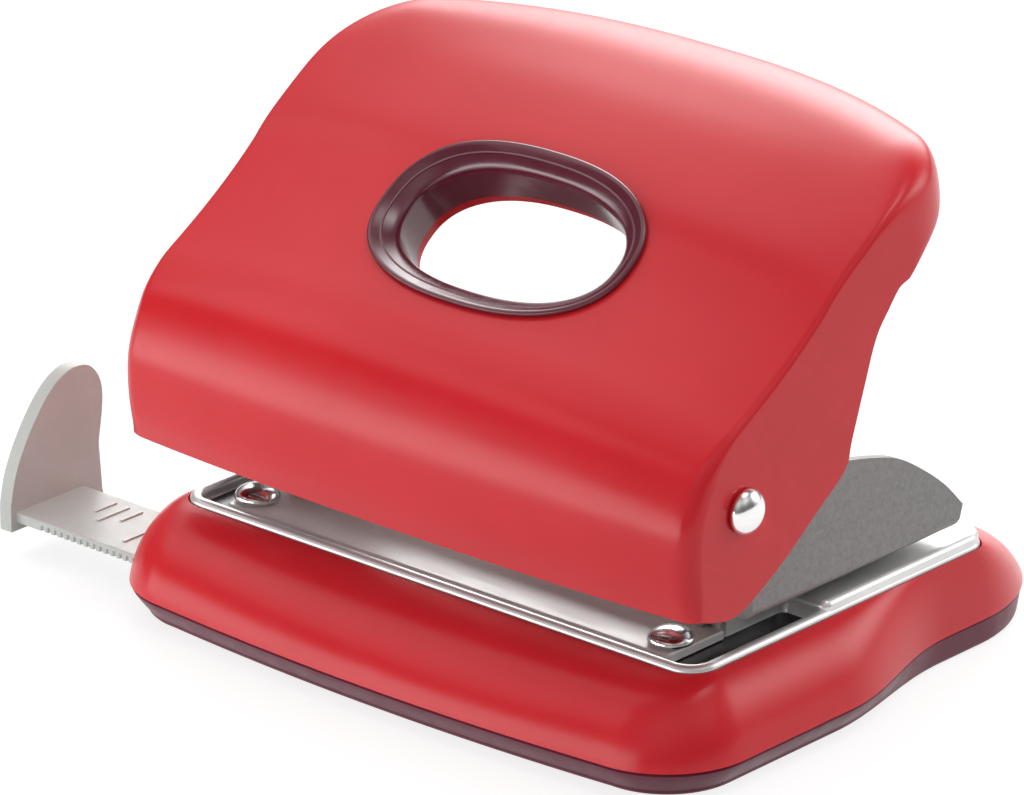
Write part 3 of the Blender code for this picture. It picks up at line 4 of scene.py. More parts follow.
import bmesh
import bpy
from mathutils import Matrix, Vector


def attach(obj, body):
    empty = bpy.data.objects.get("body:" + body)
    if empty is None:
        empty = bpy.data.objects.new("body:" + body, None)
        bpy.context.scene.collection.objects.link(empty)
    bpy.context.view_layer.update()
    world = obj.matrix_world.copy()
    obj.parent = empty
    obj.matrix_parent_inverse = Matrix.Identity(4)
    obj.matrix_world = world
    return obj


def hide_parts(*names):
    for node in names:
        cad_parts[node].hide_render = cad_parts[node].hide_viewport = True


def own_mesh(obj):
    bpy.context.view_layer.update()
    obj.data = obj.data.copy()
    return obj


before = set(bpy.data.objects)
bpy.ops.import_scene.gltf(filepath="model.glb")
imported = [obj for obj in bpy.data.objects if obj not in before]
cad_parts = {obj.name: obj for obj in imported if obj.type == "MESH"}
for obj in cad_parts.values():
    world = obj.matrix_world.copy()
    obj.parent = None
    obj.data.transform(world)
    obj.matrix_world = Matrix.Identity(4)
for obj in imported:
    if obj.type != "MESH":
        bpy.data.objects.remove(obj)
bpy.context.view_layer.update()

# The camera that took the photograph, worked out from the tray's corners
CAMERA_PLACE = (0.78517, -0.90188, 0.51106)
CAMERA_AZIMUTH = 41.587
CAMERA_ELEVATION = 21.556
CAMERA_LENS = 281.25
CAMERA_SENSOR = 36

# Sizes shared with the CAD source
FIT_GAP = 0.0003
RUN_GAP = 0.0005
OVERRUN = 0.002
TRAY_WIDTH = 0.1106
TRAY_DEPTH = 0.074
TRAY_CORNER = 0.0052
RIM_TOP = 0.01845
RIM_WIDTH = 0.0021
FLOOR_TOP = 0.01625
TABLE_TOP = 0.01985
TABLE_START = -0.0050
TABLE_ROUND = 0.0012
TABLE_INSET = 0.0002
DIE_TABLE_WIDTH = 0.0924
DIE_TABLE_START = -0.0202
PIN_X = 0.040
PIN_DIAMETER = 0.0055
PIN_ROW = -0.008
PAPER_SLOT = 0.0021
DIE_RING_DIAMETER = 0.0096
PARTING_HEIGHT = 0.005
BASE_HALF_WIDTH = 0.0630
BASE_HALF_WAIST = 0.0562
BASE_FRONT = 0.0522
BASE_BACK = 0.0617
BASE_FRONT_BOW = 0.0022
BASE_FRONT_RADIUS = 0.016
BASE_BACK_RADIUS = 0.0270
WAIST_START = -0.0077
WAIST_END = 0.0240
CASING_WALL = 0.0021
CASING_TOP = 0.01745
DECK_TOP = 0.01515
DECK_THICKNESS = 0.002
FLANK_BULGE = 0.72
FLANK_BULGE_BACK = 0.25
COVER_FLOOR = 0.0014
COVER_WALL = 0.0016
COVER_UNDERCUT = 0.0029
COVER_UNDERCUT_WAIST = 0.0008
COVER_EDGE = 0.0009
HINGE_RADIUS = 0.002
HINGE_LENGTH = 0.030
HINGE_KNUCKLE = 0.010
HINGE_Y = 0.0630
FOOT_RADIUS = 0.0042
FOOT_POST_RADIUS = 0.0030
FOOT_CLEARANCE = 0.0009
GUIDE_WIDTH = 0.016
GUIDE_THICKNESS = 0.0018
GUIDE_MIDDLE = -0.0329
GUIDE_UNDERSIDE = 0.0053
GUIDE_REACH = 0.0885
GUIDE_TAIL = 0.014
FIN_THICKNESS = 0.0027
FIN_DROP = 0.0015
FIN_HEIGHT = 0.0250
FIN_WIDTH = 0.0220
FIN_FRONT_OVERHANG = 0.00125
RAIL_START = -0.050
RAIL_LENGTH = 0.034
RAIL_WALL = 0.0014
RAIL_LIP = 0.0022
STEEL = 0.0015
EAR_OUTER = 0.0543
EAR_BEND = 0.0018
THROAT = -0.0205
FOOT_PLATE_END = -0.0342
FOOT_PLATE_WIDTH = 0.0944
EAR_NECK_HEIGHT = 0.0285
EAR_TIP = 0.0302
EAR_TIP_HEIGHT = 0.0024
EAR_NOSE_HEIGHT = 0.0202
PIVOT_Y = -0.0318
PIVOT_Z = 0.04535
AXLE_DIAMETER = 0.0044
CAP_DIAMETER = 0.0074
CAP_DOME = 0.0026
EAR_BOSS_RADIUS = 0.0055
HOOD_WIDTH = 0.1206
HOOD_WALL = 0.0023
HOOD_REACH = 0.0596
HOOD_RISE = 0.0645
HOOD_LOW = 0.02865
HOOD_FRONT = -0.0444
HOOD_CROWN = 0.0053
HOOD_BOW = 0.0025
HOOD_END_BOW = 0.0133
HOOD_MIDDLE_POWER = 2.5
HOOD_CORNER = 0.0108
HOOD_PULL = 0.0105
PULLED_UNDER_POINTS = 4
SLOPE_DEGREES = 37.5
HOLE_Y = -0.0186
HOLE_Z = 0.07255
HOLE_HALF_LENGTH = 0.0220
HOLE_HALF_HEIGHT = 0.0120
RING_LIP = 0.0034
RING_WALL = 0.0016
RING_PROUD = 0.0005
HOLE_POWER = 2.35
LINER_DEPTH = 0.011
LINER_THICKNESS = 0.0018
LINER_FRONT_CORNER = 0.0030
LINER_BACK_CORNER = 0.0100
LINER_START = -0.0178
HOLLOW_END = 0.0305
YOKE_OUTER = 0.0480
YOKE_FRONT = -0.0400
YOKE_LOW = 0.03435
SPRING_WIRE = 0.00075
SPRING_DIAMETER = 0.0104
SPRING_TURNS = 5
SPRING_LOW = 0.02485
SPRING_HIGH = 0.03785
SCREW_DIAMETER = 0.0030
BOSS_RADIUS = 0.0032
RIVET_DIAMETER = 0.0040
RIVET_HEAD_DIAMETER = 0.0076
RIVET_HEAD_HEIGHT = 0.0024
RIVET_MARGIN = 0.0030

# Edges and small sizes that only the looks have
HOOD_EDGE_FRONT = 0.0031
HOOD_EDGE_SLOPE = 0.0009
HOOD_EDGE_END = 0.0022
FINE_BEVEL = 0.00022
MARK_HEIGHT = 0.00025
RING_SPREAD = 0.0005
PART_BEVEL = 0.0003
CAD_BEVEL = 0.00012
BEVEL_DEGREES = 35
RIM_FOOT_WIDTH = 0.0008
RIM_FOOT_HEIGHT = 0.0003
TABLE_SPREAD = 0.0004
TABLE_FOOT_LOW = 0.0001
TABLE_FOOT_HIGH = 0.0007
TABLE_PLAN_CORNER = 0.0016
WELL_GAP = 0.0003
WELL_SINK = 0.0001
WELL_HEIGHT = 0.00006
FOOT_PLATE_CORNER = 0.0012
FOOT_PLATE_ROUND = 0.0005
CHIP_SLOT_HALF_WIDTH = 0.0075
CHIP_SLOT_FRONT = -0.0165
CHIP_SLOT_BACK = 0.004
FOOT_PLACES = ((0.0460, -0.0205), (0.0390, 0.0400))
FOOT_POST_LOW = 0.0019
LINER_SCREW_SHARE = 0.45
LINER_SCREW_REACH = 0.7
YOKE_SCREW_SHARE = 0.6

# Scale of the side guide: place and length of each mark, and the notches on its near edge
MARK_PLACES = (
    (-0.0790, 0.0050), (-0.0760, 0.0075), (-0.0730, 0.0050), (-0.0665, 0.0110),
    (-0.0600, 0.0050), (-0.0570, 0.0075), (-0.0540, 0.0050),
)
MARK_HALF_WIDTH = 0.0003
MARK_TO_EDGE = 0.0022
NOTCH_COUNT = 52
NOTCH_PITCH = 0.0015
NOTCH_START = 0.006
NOTCH_HALF_WIDTH = 0.0003
NOTCH_DEPTH = 0.0004
NOTCH_OVERRUN = 0.001

# Studio: each patch of sky as azimuth, elevation and spread in degrees, and its strength
AMBIENT_LIGHT = 0.10
LAMP_AIM_HEIGHT = 0.03
STRIP_HEIGHT = 0.0435
FLOOR_RADIUS = 12
FLOOR_GREY = 0.34
FLOOR_GLOW_UNSEEN = 0.14
FLOOR_GLOW_SEEN = 0.78
SKY_LOBES = [
    (176, 55, 16, 1.3), (136, 34, 9, 4.5), (122, 27, 9, 5.0), (108, 22, 9, 4.5), (130, 12, 7, 2.0),
    (60, 22, 11, 4.5), (5, 42, 14, 0.8), (47, 73, 8, 5.0), (-60, 45, 20, 0.6),
]

HOOD_SKIN = [
    (0.030, 0.012), (0.010, 0.075), (0.000, 0.150), (0.002, 0.235), (0.027, 0.312), (0.070, 0.384),
    (0.142, 0.442), (0.235, 0.491), (0.334, 0.546), (0.433, 0.608), (0.535, 0.681), (0.631, 0.758),
    (0.769, 0.849), (0.867, 0.907), (0.948, 0.938), (1.015, 0.938), (1.057, 0.910), (1.077, 0.853),
    (1.071, 0.815), (1.018, 0.772),
]
HOOD_UNDER = [
    (0.940, 0.732), (0.859, 0.660), (0.778, 0.578), (0.701, 0.448), (0.651, 0.316), (0.624, 0.246),
    (0.510, 0.168), (0.362, 0.071), (0.203, -0.006), (0.104, 0.000),
]
HOOD_CROWNS = [
    0.04, 0.04, 0.06, 0.15, 0.35, 0.60, 0.75, 0.82, 0.86, 0.80,
    0.74, 0.65, 0.53, 0.40, 0.40, 0.40, 0.40, 0.40, 0.40, 0.40,
]
HOOD_BOWS = [1.00, 1.05, 1.05, 1.02, 1.00, 0.85, 0.40, 0.15] + [0] * 12
HOOD_ENDS = [0] * 12 + [0.26, 0.51, 0.76, 1, 1, 1, 1, 1]
EAR_TOP = [
    (0.000, 0.190), (0.078, 0.430), (0.175, 0.652), (0.270, 0.824), (0.368, 0.921), (0.472, 0.995),
    (0.627, 1.092), (0.784, 1.222), (0.909, 1.370),
]
FIN = [
    (0.000, 0.000), (0.000, 0.190), (0.055, 0.385), (0.170, 0.590), (0.330, 0.790), (0.480, 0.920),
    (0.620, 0.985), (0.740, 1.000), (0.860, 0.975), (0.950, 0.900), (1.000, 0.790), (1.000, 0.640),
    (0.955, 0.400), (0.950, 0.250), (0.985, 0.060), (1.000, 0.000),
]

SLOPE = math.radians(SLOPE_DEGREES)
SLOPE_ALONG = Vector((0, math.cos(SLOPE), math.sin(SLOPE)))
SLOPE_UP = Vector((0, -math.sin(SLOPE), math.cos(SLOPE)))
HOLE_CENTRE = Vector((0, HOLE_Y, HOLE_Z))
WEB_BOTTOM = TABLE_TOP + PAPER_SLOT
WEB_TOP = WEB_BOTTOM + STEEL
DECK_BOTTOM = DECK_TOP - DECK_THICKNESS
LINER_END = HOLLOW_END - FIT_GAP
SIDES = (("left", -1), ("right", 1))


class Finish:
    """Node tree of one material: a Principled shader fed by noise in object space."""

    def __init__(self, name, roughness, metallic=0.0, specular=0.5, coat=0.0):
        self.made = bpy.data.materials.new(name)
        self.made.use_nodes = True
        self.tree = self.made.node_tree
        self.shader = self.tree.nodes["Principled BSDF"]
        self.shader.inputs["Roughness"].default_value = roughness
        self.shader.inputs["Metallic"].default_value = metallic
        self.shader.inputs["Specular IOR Level"].default_value = specular
        self.shader.inputs["Coat Weight"].default_value = coat
        self.place = self.node("ShaderNodeTexCoord").outputs["Object"]

    def node(self, kind, **settings):
        made = self.tree.nodes.new(kind)
        for name, value in settings.items():
            setattr(made, name, value)
        return made

    def link(self, source, target):
        self.tree.links.new(source, target)

    def noise(self, scale, detail=3.0, stretch=(1, 1, 1)):
        """Noise with its scale in features per metre, drawn out along an axis by stretch."""
        mapping = self.node("ShaderNodeMapping")
        mapping.inputs["Scale"].default_value = stretch
        self.link(self.place, mapping.inputs["Vector"])
        noise = self.node("ShaderNodeTexNoise")
        noise.inputs["Scale"].default_value = scale
        noise.inputs["Detail"].default_value = detail
        self.link(mapping.outputs["Vector"], noise.inputs["Vector"])
        return noise.outputs["Fac"]

    def ramp(self, source, *stops):
        """Colour ramp through (place, colour) stops."""
        ramp = self.node("ShaderNodeValToRGB")
        ramp.color_ramp.elements[0].position = stops[0][0]
        ramp.color_ramp.elements[0].color = (*stops[0][1], 1)
        ramp.color_ramp.elements[1].position = stops[-1][0]
        ramp.color_ramp.elements[1].color = (*stops[-1][1], 1)
        for place, colour in stops[1:-1]:
            ramp.color_ramp.elements.new(place).color = (*colour, 1)
        self.link(source, ramp.inputs["Fac"])
        return ramp.outputs["Color"]

    def spread(self, source, low, high):
        """The middle of a noise mapped from low to high."""
        span = self.node("ShaderNodeMapRange")
        for socket, value in (("From Min", 0.3), ("From Max", 0.7), ("To Min", low), ("To Max", high)):
            span.inputs[socket].default_value = value
        self.link(source, span.inputs["Value"])
        return span.outputs["Result"]

    def mixed(self, first, second, share):
        mix = self.node("ShaderNodeMix", data_type="RGBA")
        self.link(share, mix.inputs["Factor"])
        self.link(first, mix.inputs["A"])
        self.link(second, mix.inputs["B"])
        return mix.outputs["Result"]

    def colour(self, dark, light, scale, stretch=(1, 1, 1)):
        """Base colour that drifts between two tones, a little lighter on sharp convex edges."""
        body = self.ramp(self.noise(scale, 4, stretch), (0.3, dark), (0.7, light))
        # Lighter tone laid on sharp convex edges, where pointiness is high.
        edge_colour = [min(c * 1.25 + 0.01, 1) for c in light]
        edge_tone = self.ramp(self.noise(scale * 7, 2), (0.3, light), (0.7, edge_colour))
        edges = self.node("ShaderNodeNewGeometry").outputs["Pointiness"]
        edge = self.node("ShaderNodeMapRange")
        for socket, value in (("From Min", 0.53), ("From Max", 0.62), ("To Min", 0.0), ("To Max", 0.6)):
            edge.inputs[socket].default_value = value
        self.link(edges, edge.inputs["Value"])
        self.link(self.mixed(body, edge_tone, edge.outputs["Result"]), self.shader.inputs["Base Color"])

    def rough(self, low, high, scale, stretch=(1, 1, 1)):
        self.link(self.spread(self.noise(scale, 3, stretch), low, high), self.shader.inputs["Roughness"])

    def bump(self, scale, height, stretch=(1, 1, 1), detail=2.0):
        bump = self.node("ShaderNodeBump")
        bump.inputs["Strength"].default_value = 0.5
        bump.inputs["Distance"].default_value = height
        self.link(self.noise(scale, detail, stretch), bump.inputs["Height"])
        if self.shader.inputs["Normal"].is_linked:
            self.link(self.shader.inputs["Normal"].links[0].from_socket, bump.inputs["Normal"])
        self.link(bump.outputs["Normal"], self.shader.inputs["Normal"])


def finishes():
    made = {}
    red = Finish("satin_red", 0.25, specular=0.34)
    red.colour((0.73, 0.020, 0.029), (0.78, 0.024, 0.034), 45)
    red.rough(0.22, 0.27, 350)
    red.bump(2600, 0.00002)
    made["red_plastic"] = red.made

    plum = Finish("gloss_plum", 0.22, specular=0.85)
    plum.colour((0.125, 0.012, 0.028), (0.150, 0.015, 0.033), 60)
    plum.rough(0.18, 0.26, 300)
    plum.bump(1800, 0.00001)
    made["ring_plum"] = plum.made

    cover = Finish("moulded_plum", 0.38, specular=0.3)
    cover.colour((0.150, 0.020, 0.044), (0.175, 0.024, 0.052), 60)
    cover.rough(0.34, 0.44, 300)
    cover.bump(2200, 0.00003)
    made["plum_plastic"] = cover.made

    chrome = Finish("chrome", 0.32, metallic=0.6, specular=0.6)
    chrome.colour((0.78, 0.78, 0.77), (0.84, 0.84, 0.83), 90)
    chrome.rough(0.28, 0.36, 260, (0.2, 1, 1))
    chrome.bump(110, 0.00002)
    made["chrome"] = chrome.made

    # Painted shade: a dark sheet laid over the chrome tray floor, painting the shade and the dark
    # reflections seen there.
    shade_well = Finish("painted_shade_well", 0.25, metallic=0.4, specular=0.5)
    shade_well.colour((0.032, 0.028, 0.034), (0.044, 0.038, 0.046), 90)
    shade_well.rough(0.20, 0.30, 300)
    shade_well.bump(500, 0.00003)
    made["painted_shade_well"] = shade_well.made

    head = Finish("satin_head", 0.16, metallic=1.0)
    head.colour((0.82, 0.82, 0.81), (0.88, 0.88, 0.87), 300)
    head.rough(0.14, 0.20, 600)
    head.bump(700, 0.000004)
    made["head_steel"] = head.made

    # Painted shade: the bracket's copy of its steel, darker than the foot plate's copy of the same steel
    # because the ears stand in shade.
    painted_shade_ear = Finish("grey_steel", 0.5, metallic=0.55, specular=0.4)
    painted_shade_ear.colour((0.22, 0.21, 0.205), (0.28, 0.27, 0.265), 1500)
    painted_shade_ear.rough(0.42, 0.56, 1200)
    painted_shade_ear.bump(2400, 0.00004)
    made["grey_steel"] = painted_shade_ear.made

    # Painted light: the foot plate's copy of the bracket steel, light and barely metallic so that it looks
    # lit from the front instead of reflecting the dark underside of the lever.
    painted_light_plate = Finish("satin_plate_painted_light", 0.4, metallic=0.15, specular=0.5)
    painted_light_plate.colour((0.78, 0.79, 0.77), (0.86, 0.87, 0.85), 260, (0.25, 1, 1))
    painted_light_plate.rough(0.30, 0.46, 700, (0.1, 1, 1))
    painted_light_plate.bump(900, 0.00004, (0.12, 1, 1))
    made["plate_steel_painted_light"] = painted_light_plate.made

    tool = Finish("tool_steel", 0.3, metallic=1.0)
    tool.colour((0.40, 0.40, 0.41), (0.50, 0.50, 0.51), 300)
    tool.rough(0.22, 0.36, 900)
    tool.bump(1500, 0.00002)
    made["tool_steel"] = tool.made

    screws = Finish("zinc_steel", 0.3, metallic=1.0)
    screws.colour((0.46, 0.46, 0.47), (0.58, 0.58, 0.57), 500)
    screws.rough(0.22, 0.38, 1400)
    screws.bump(2500, 0.00002)
    made["screw_steel"] = screws.made

    guide = Finish("guide_plastic", 0.42, specular=0.45)
    guide.colour((0.56, 0.575, 0.545), (0.61, 0.625, 0.60), 120)
    guide.rough(0.36, 0.46, 500)
    guide.bump(2000, 0.00003)
    made["guide_plastic"] = guide.made

    rubber = Finish("rubber", 0.8, specular=0.3)
    rubber.colour((0.018, 0.018, 0.019), (0.030, 0.030, 0.031), 400)
    rubber.rough(0.72, 0.86, 900)
    rubber.bump(3000, 0.00006)
    made["rubber"] = rubber.made
    return made


def new_piece(name, mesh_maker):
    mesh = bpy.data.meshes.new(name)
    work = bmesh.new()
    mesh_maker(work)
    bmesh.ops.recalc_face_normals(work, faces=work.faces)
    work.to_mesh(mesh)
    work.free()
    made = bpy.data.objects.new(name, mesh)
    bpy.context.collection.objects.link(made)
    return made


def bake(made):
    """Turns the piece and its modifiers into one plain mesh."""
    bpy.context.view_layer.update()
    graph = bpy.context.evaluated_depsgraph_get()
    mesh = bpy.data.meshes.new_from_object(made.evaluated_get(graph))
    made.modifiers.clear()
    made.data = mesh
    return made


def shade(made, degrees=BEVEL_DEGREES):
    made.data.shade_smooth()
    made.data.set_sharp_from_angle(angle=math.radians(degrees))
    step = made.modifiers.new("normals", "WEIGHTED_NORMAL")
    step.keep_sharp = True
    return made


def bevelled(made, width=FINE_BEVEL):
    step = made.modifiers.new("edges", "BEVEL")
    step.width = width
    step.segments = 2
    step.limit_method = "ANGLE"
    step.angle_limit = math.radians(BEVEL_DEGREES)
    return bake(made)


def combine(target, tool, operation):
    step = target.modifiers.new("join", "BOOLEAN")
    step.operation = operation
    step.object = tool
    step.solver = "EXACT"
    bake(target)
    bpy.data.objects.remove(tool, do_unlink=True)
    return target


def cut(target, tool):
    return combine(target, tool, "DIFFERENCE")


def add(target, tool):
    return combine(target, tool, "UNION")


def joined(name, *parts):
    """One piece from several closed bodies."""
    def fill(work):
        for part in parts:
            work.from_mesh(part.data)
    made = new_piece(name, fill)
    for part in parts:
        bpy.data.objects.remove(part, do_unlink=True)
    return made


def solid_of_rings(name, rings, closed=False):
    def fill(work):
        rows = [[work.verts.new(point) for point in ring] for ring in rings]
        count = len(rows[0])
        following = rows[1:] + (rows[:1] if closed else [])
        for row, after in zip(rows, following):
            for i in range(count):
                j = (i + 1) % count
                work.faces.new((row[i], row[j], after[j], after[i]))
        if not closed:
            work.faces.new(rows[0])
            work.faces.new(rows[-1])
    return new_piece(name, fill)


def split_faces(made):
    work = bmesh.new()
    work.from_mesh(made.data)
    bmesh.ops.triangulate(work, faces=work.faces)
    work.to_mesh(made.data)
    work.free()
    return made


def box(name, low, high):
    x0, y0, z0 = low
    x1, y1, z1 = high
    plan = [(x0, y0), (x1, y0), (x1, y1), (x0, y1)]
    return solid_of_rings(name, [[(x, y, z) for x, y in plan] for z in (z0, z1)])


def prism_x(name, outline, x0, x1):
    return solid_of_rings(name, [[(x, y, z) for y, z in outline] for x in (x0, x1)])


def prism_y(name, outline, y0, y1):
    return solid_of_rings(name, [[(x, y, z) for x, z in outline] for y in (y0, y1)])


def turned(name, profile, start, direction, segments=64):
    along = Vector(direction).normalized()
    side = along.orthogonal().normalized()
    other = along.cross(side)
    rings = []
    for distance, radius in profile:
        middle = Vector(start) + along * distance
        rings.append([
            middle + (side * math.cos(turn) + other * math.sin(turn)) * radius
            for turn in (2 * math.pi * i / segments for i in range(segments))
        ])
    return solid_of_rings(name, rings)


def rod(name, start, direction, length, radius, segments=32):
    return turned(name, [(0, radius), (length, radius)], start, direction, segments)


def arc(middle, radius, start, end, steps):
    points = []
    for i in range(steps + 1):
        turn = math.radians(start + (end - start) * i / steps)
        points.append((middle[0] + radius * math.cos(turn), middle[1] + radius * math.sin(turn)))
    return points


def smooth_path(points, steps):
    vectors = [Vector(point) for point in points]
    ends = [2 * vectors[0] - vectors[1], *vectors, 2 * vectors[-1] - vectors[-2]]
    path = []
    for before, first, second, after in zip(ends, ends[1:], ends[2:], ends[3:]):
        for i in range(steps):
            t = i / steps
            path.append(0.5 * (
                2 * first + (second - before) * t
                + (2 * before - 5 * first + 4 * second - after) * t ** 2
                + (3 * first - before - 3 * second + after) * t ** 3
            ))
    path.append(vectors[-1])
    return path


def ease(value, start, end):
    share = min(max((value - start) / (end - start), 0), 1)
    return share * share * (3 - 2 * share)


def dress(piece, body, finish, slot, *nodes):
    """Gives a new piece its material and its body, and hides the CAD nodes that it stands for."""
    piece.data.materials.clear()
    piece.data.materials.append(FINISHES[finish])
    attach(piece, body)
    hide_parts(*nodes)
    return piece


def plan_outline(half_width, half_waist, front, back, front_radius, back_radius, bow=0.0):
    """Plan outline, symmetrical in X, that all rings of the base share point by point."""
    corner_x = half_width - front_radius
    corner_y = -front + bow + front_radius
    right = []
    for i in range(14):
        share = i / 14
        right.append((corner_x * share, -front + bow * share ** 2))
    right += arc((corner_x, corner_y), front_radius, -90, 0, 18)
    back_y = back - back_radius
    for i in range(1, 40):
        y = corner_y + (back_y - corner_y) * i / 40
        narrowing = ease(y, WAIST_START, WAIST_END)
        right.append((half_width + (half_waist - half_width) * narrowing, y))
    back_x = half_waist - back_radius
    right += arc((back_x, back_y), back_radius, 0, 90, 22)
    right += [(back_x * (1 - i / 8), back) for i in range(1, 9)]
    return right + [(-x, y) for x, y in reversed(right[1:-1])]


def inset(outline, distance):
    moved = []
    count = len(outline)
    for i, (x, y) in enumerate(outline):
        before, after = outline[i - 1], outline[(i + 1) % count]
        along = Vector((after[0] - before[0], after[1] - before[1])).normalized()
        amount = distance(y) if callable(distance) else distance
        moved.append((x - along.y * amount, y + along.x * amount))
    return moved


def level(outline, z):
    return [(x, y, z) for x, y in outline]


def base_outline():
    return plan_outline(BASE_HALF_WIDTH, BASE_HALF_WAIST, BASE_FRONT, BASE_BACK,
                        BASE_FRONT_RADIUS, BASE_BACK_RADIUS, BASE_FRONT_BOW)


def tray_outline():
    half_width, half_depth = TRAY_WIDTH / 2, TRAY_DEPTH / 2
    return plan_outline(half_width, half_width, half_depth, half_depth, TRAY_CORNER, TRAY_CORNER)


def flank(lower, low_z, upper, high_z, steps=16):
    rings = []
    for i in range(steps + 1):
        turn = math.pi / 2 * (1 - i / steps)
        straight = 1 - i / steps
        ring = []
        for (lx, ly), (ux, uy) in zip(lower, upper):
            bulge = FLANK_BULGE + (FLANK_BULGE_BACK - FLANK_BULGE) * ease(ly, WAIST_END, BASE_BACK)
            out = bulge * math.sin(turn) + (1 - bulge) * straight
            up = bulge * math.cos(turn) + (1 - bulge) * (1 - straight)
            ring.append((ux + (lx - ux) * out, uy + (ly - uy) * out, low_z + (high_z - low_z) * up))
        rings.append(ring)
    return rings


def hinge_barrel(name, x0, x1, radius):
    return rod(name, (x0, HINGE_Y, PARTING_HEIGHT), (1, 0, 0), x1 - x0, radius)


def foot_places():
    for x, y in FOOT_PLACES:
        for _, sign in SIDES:
            yield sign * x, y


def make_casing():
    base = base_outline()
    seat = inset(tray_outline(), -FIT_GAP)
    inner_seat = inset(seat, CASING_WALL)
    inner_flank = flank(inset(base, CASING_WALL), PARTING_HEIGHT, inner_seat, DECK_BOTTOM, 8)
    outer_flank = flank(base, PARTING_HEIGHT, seat, CASING_TOP)
    rings = list(reversed(inner_flank)) + outer_flank + [level(seat, DECK_TOP)]
    casing = split_faces(solid_of_rings("casing", rings))
    add_guide_channel(casing)
    for x, y in foot_places():
        add(casing, rod("post", (x, y, FOOT_POST_LOW), (0, 0, 1),
                        DECK_TOP - DECK_THICKNESS / 2 - FOOT_POST_LOW, FOOT_POST_RADIUS))
    for _, sign in SIDES:
        low = (sign * PIN_X - CHIP_SLOT_HALF_WIDTH, CHIP_SLOT_FRONT, DECK_BOTTOM - OVERRUN)
        high = (sign * PIN_X + CHIP_SLOT_HALF_WIDTH, CHIP_SLOT_BACK, DECK_TOP + OVERRUN)
        cut(casing, box("chip_slot", low, high))
    cut(casing, hinge_barrel("room", -HINGE_LENGTH / 2 - FIT_GAP, HINGE_LENGTH / 2 + FIT_GAP,
                             HINGE_RADIUS + RUN_GAP))
    half = HINGE_KNUCKLE / 2
    add(casing, hinge_barrel("knuckle", -half, half, HINGE_RADIUS))
    add(casing, box("web", (-half, BASE_BACK - 2 * CASING_WALL, PARTING_HEIGHT),
                    (half, HINGE_Y, PARTING_HEIGHT + HINGE_RADIUS)))
    dress(shade(casing, 30), "base", "red_plastic", "red_plastic", "base_casing")


def add_guide_channel(casing):
    rail_end = RAIL_START + RAIL_LENGTH
    lip_top = GUIDE_UNDERSIDE - FIT_GAP
    lip_bottom = lip_top - RAIL_WALL
    deck = DECK_TOP - DECK_THICKNESS / 2
    half = GUIDE_WIDTH / 2 + FIT_GAP
    for sign in (-1, 1):
        inner = GUIDE_MIDDLE + sign * half
        outer = inner + sign * RAIL_WALL
        lip = inner - sign * RAIL_LIP
        outline = [(outer, deck), (inner, deck), (inner, lip_top), (lip, lip_top),
                   (lip, lip_bottom), (outer, lip_bottom)]
        add(casing, prism_x("rail", outline, RAIL_START, rail_end))
    rib_low = GUIDE_UNDERSIDE + GUIDE_THICKNESS + FIT_GAP
    add(casing, box("rib", (RAIL_START, GUIDE_MIDDLE - GUIDE_WIDTH / 8, rib_low),
                    (rail_end, GUIDE_MIDDLE + GUIDE_WIDTH / 8, deck)))
    cut(casing, box("mouth", (-BASE_HALF_WIDTH - OVERRUN, GUIDE_MIDDLE - half, PARTING_HEIGHT - OVERRUN),
                    (-BASE_HALF_WIDTH + 3 * CASING_WALL, GUIDE_MIDDLE + half, rib_low)))


def cover_undercut(y):
    narrowing = ease(y, WAIST_START, WAIST_END)
    return COVER_UNDERCUT + (COVER_UNDERCUT_WAIST - COVER_UNDERCUT) * narrowing


def make_cover():
    base = base_outline()
    top = PARTING_HEIGHT - FIT_GAP
    outer_low = inset(base, cover_undercut)
    bottom = inset(outer_low, COVER_EDGE)
    rings = [level(inset(bottom, COVER_WALL), COVER_FLOOR), level(inset(base, COVER_WALL), top)]
    rings.append(level(inset(base, 2 * FIT_GAP), top))
    steps = 8
    for i in range(steps + 1):
        t = i / steps
        fall = top - FIT_GAP - (top - FIT_GAP - COVER_EDGE) * t
        rings.append(level(inset(base, lambda y: FIT_GAP + (cover_undercut(y) - FIT_GAP) * t ** 1.2), fall))
    for i in range(1, 6):
        turn = math.pi / 2 * i / 5
        rings.append(level(inset(outer_low, COVER_EDGE * (1 - math.cos(turn))),
                           COVER_EDGE * (1 - math.sin(turn))))
    cover = split_faces(solid_of_rings("cover", rings))
    for x, y in foot_places():
        cut(cover, rod("foot_hole", (x, y, -OVERRUN), (0, 0, 1), COVER_FLOOR + 2 * OVERRUN,
                       FOOT_RADIUS + FOOT_CLEARANCE, 48))
    cut(cover, hinge_barrel("room", -HINGE_LENGTH / 2 - FIT_GAP, HINGE_LENGTH / 2 + FIT_GAP,
                            HINGE_RADIUS + RUN_GAP))
    for _, sign in SIDES:
        near, far = sorted((sign * (HINGE_KNUCKLE / 2 + RUN_GAP), sign * HINGE_LENGTH / 2))
        add(cover, hinge_barrel("knuckle", near, far, HINGE_RADIUS))
        add(cover, box("web", (near, BASE_BACK - 2 * COVER_WALL, PARTING_HEIGHT - HINGE_RADIUS),
                       (far, HINGE_Y, PARTING_HEIGHT - FIT_GAP)))
    dress(shade(cover, 30), "cover", "plum_plastic", "plum_plastic", "bottom_cover")


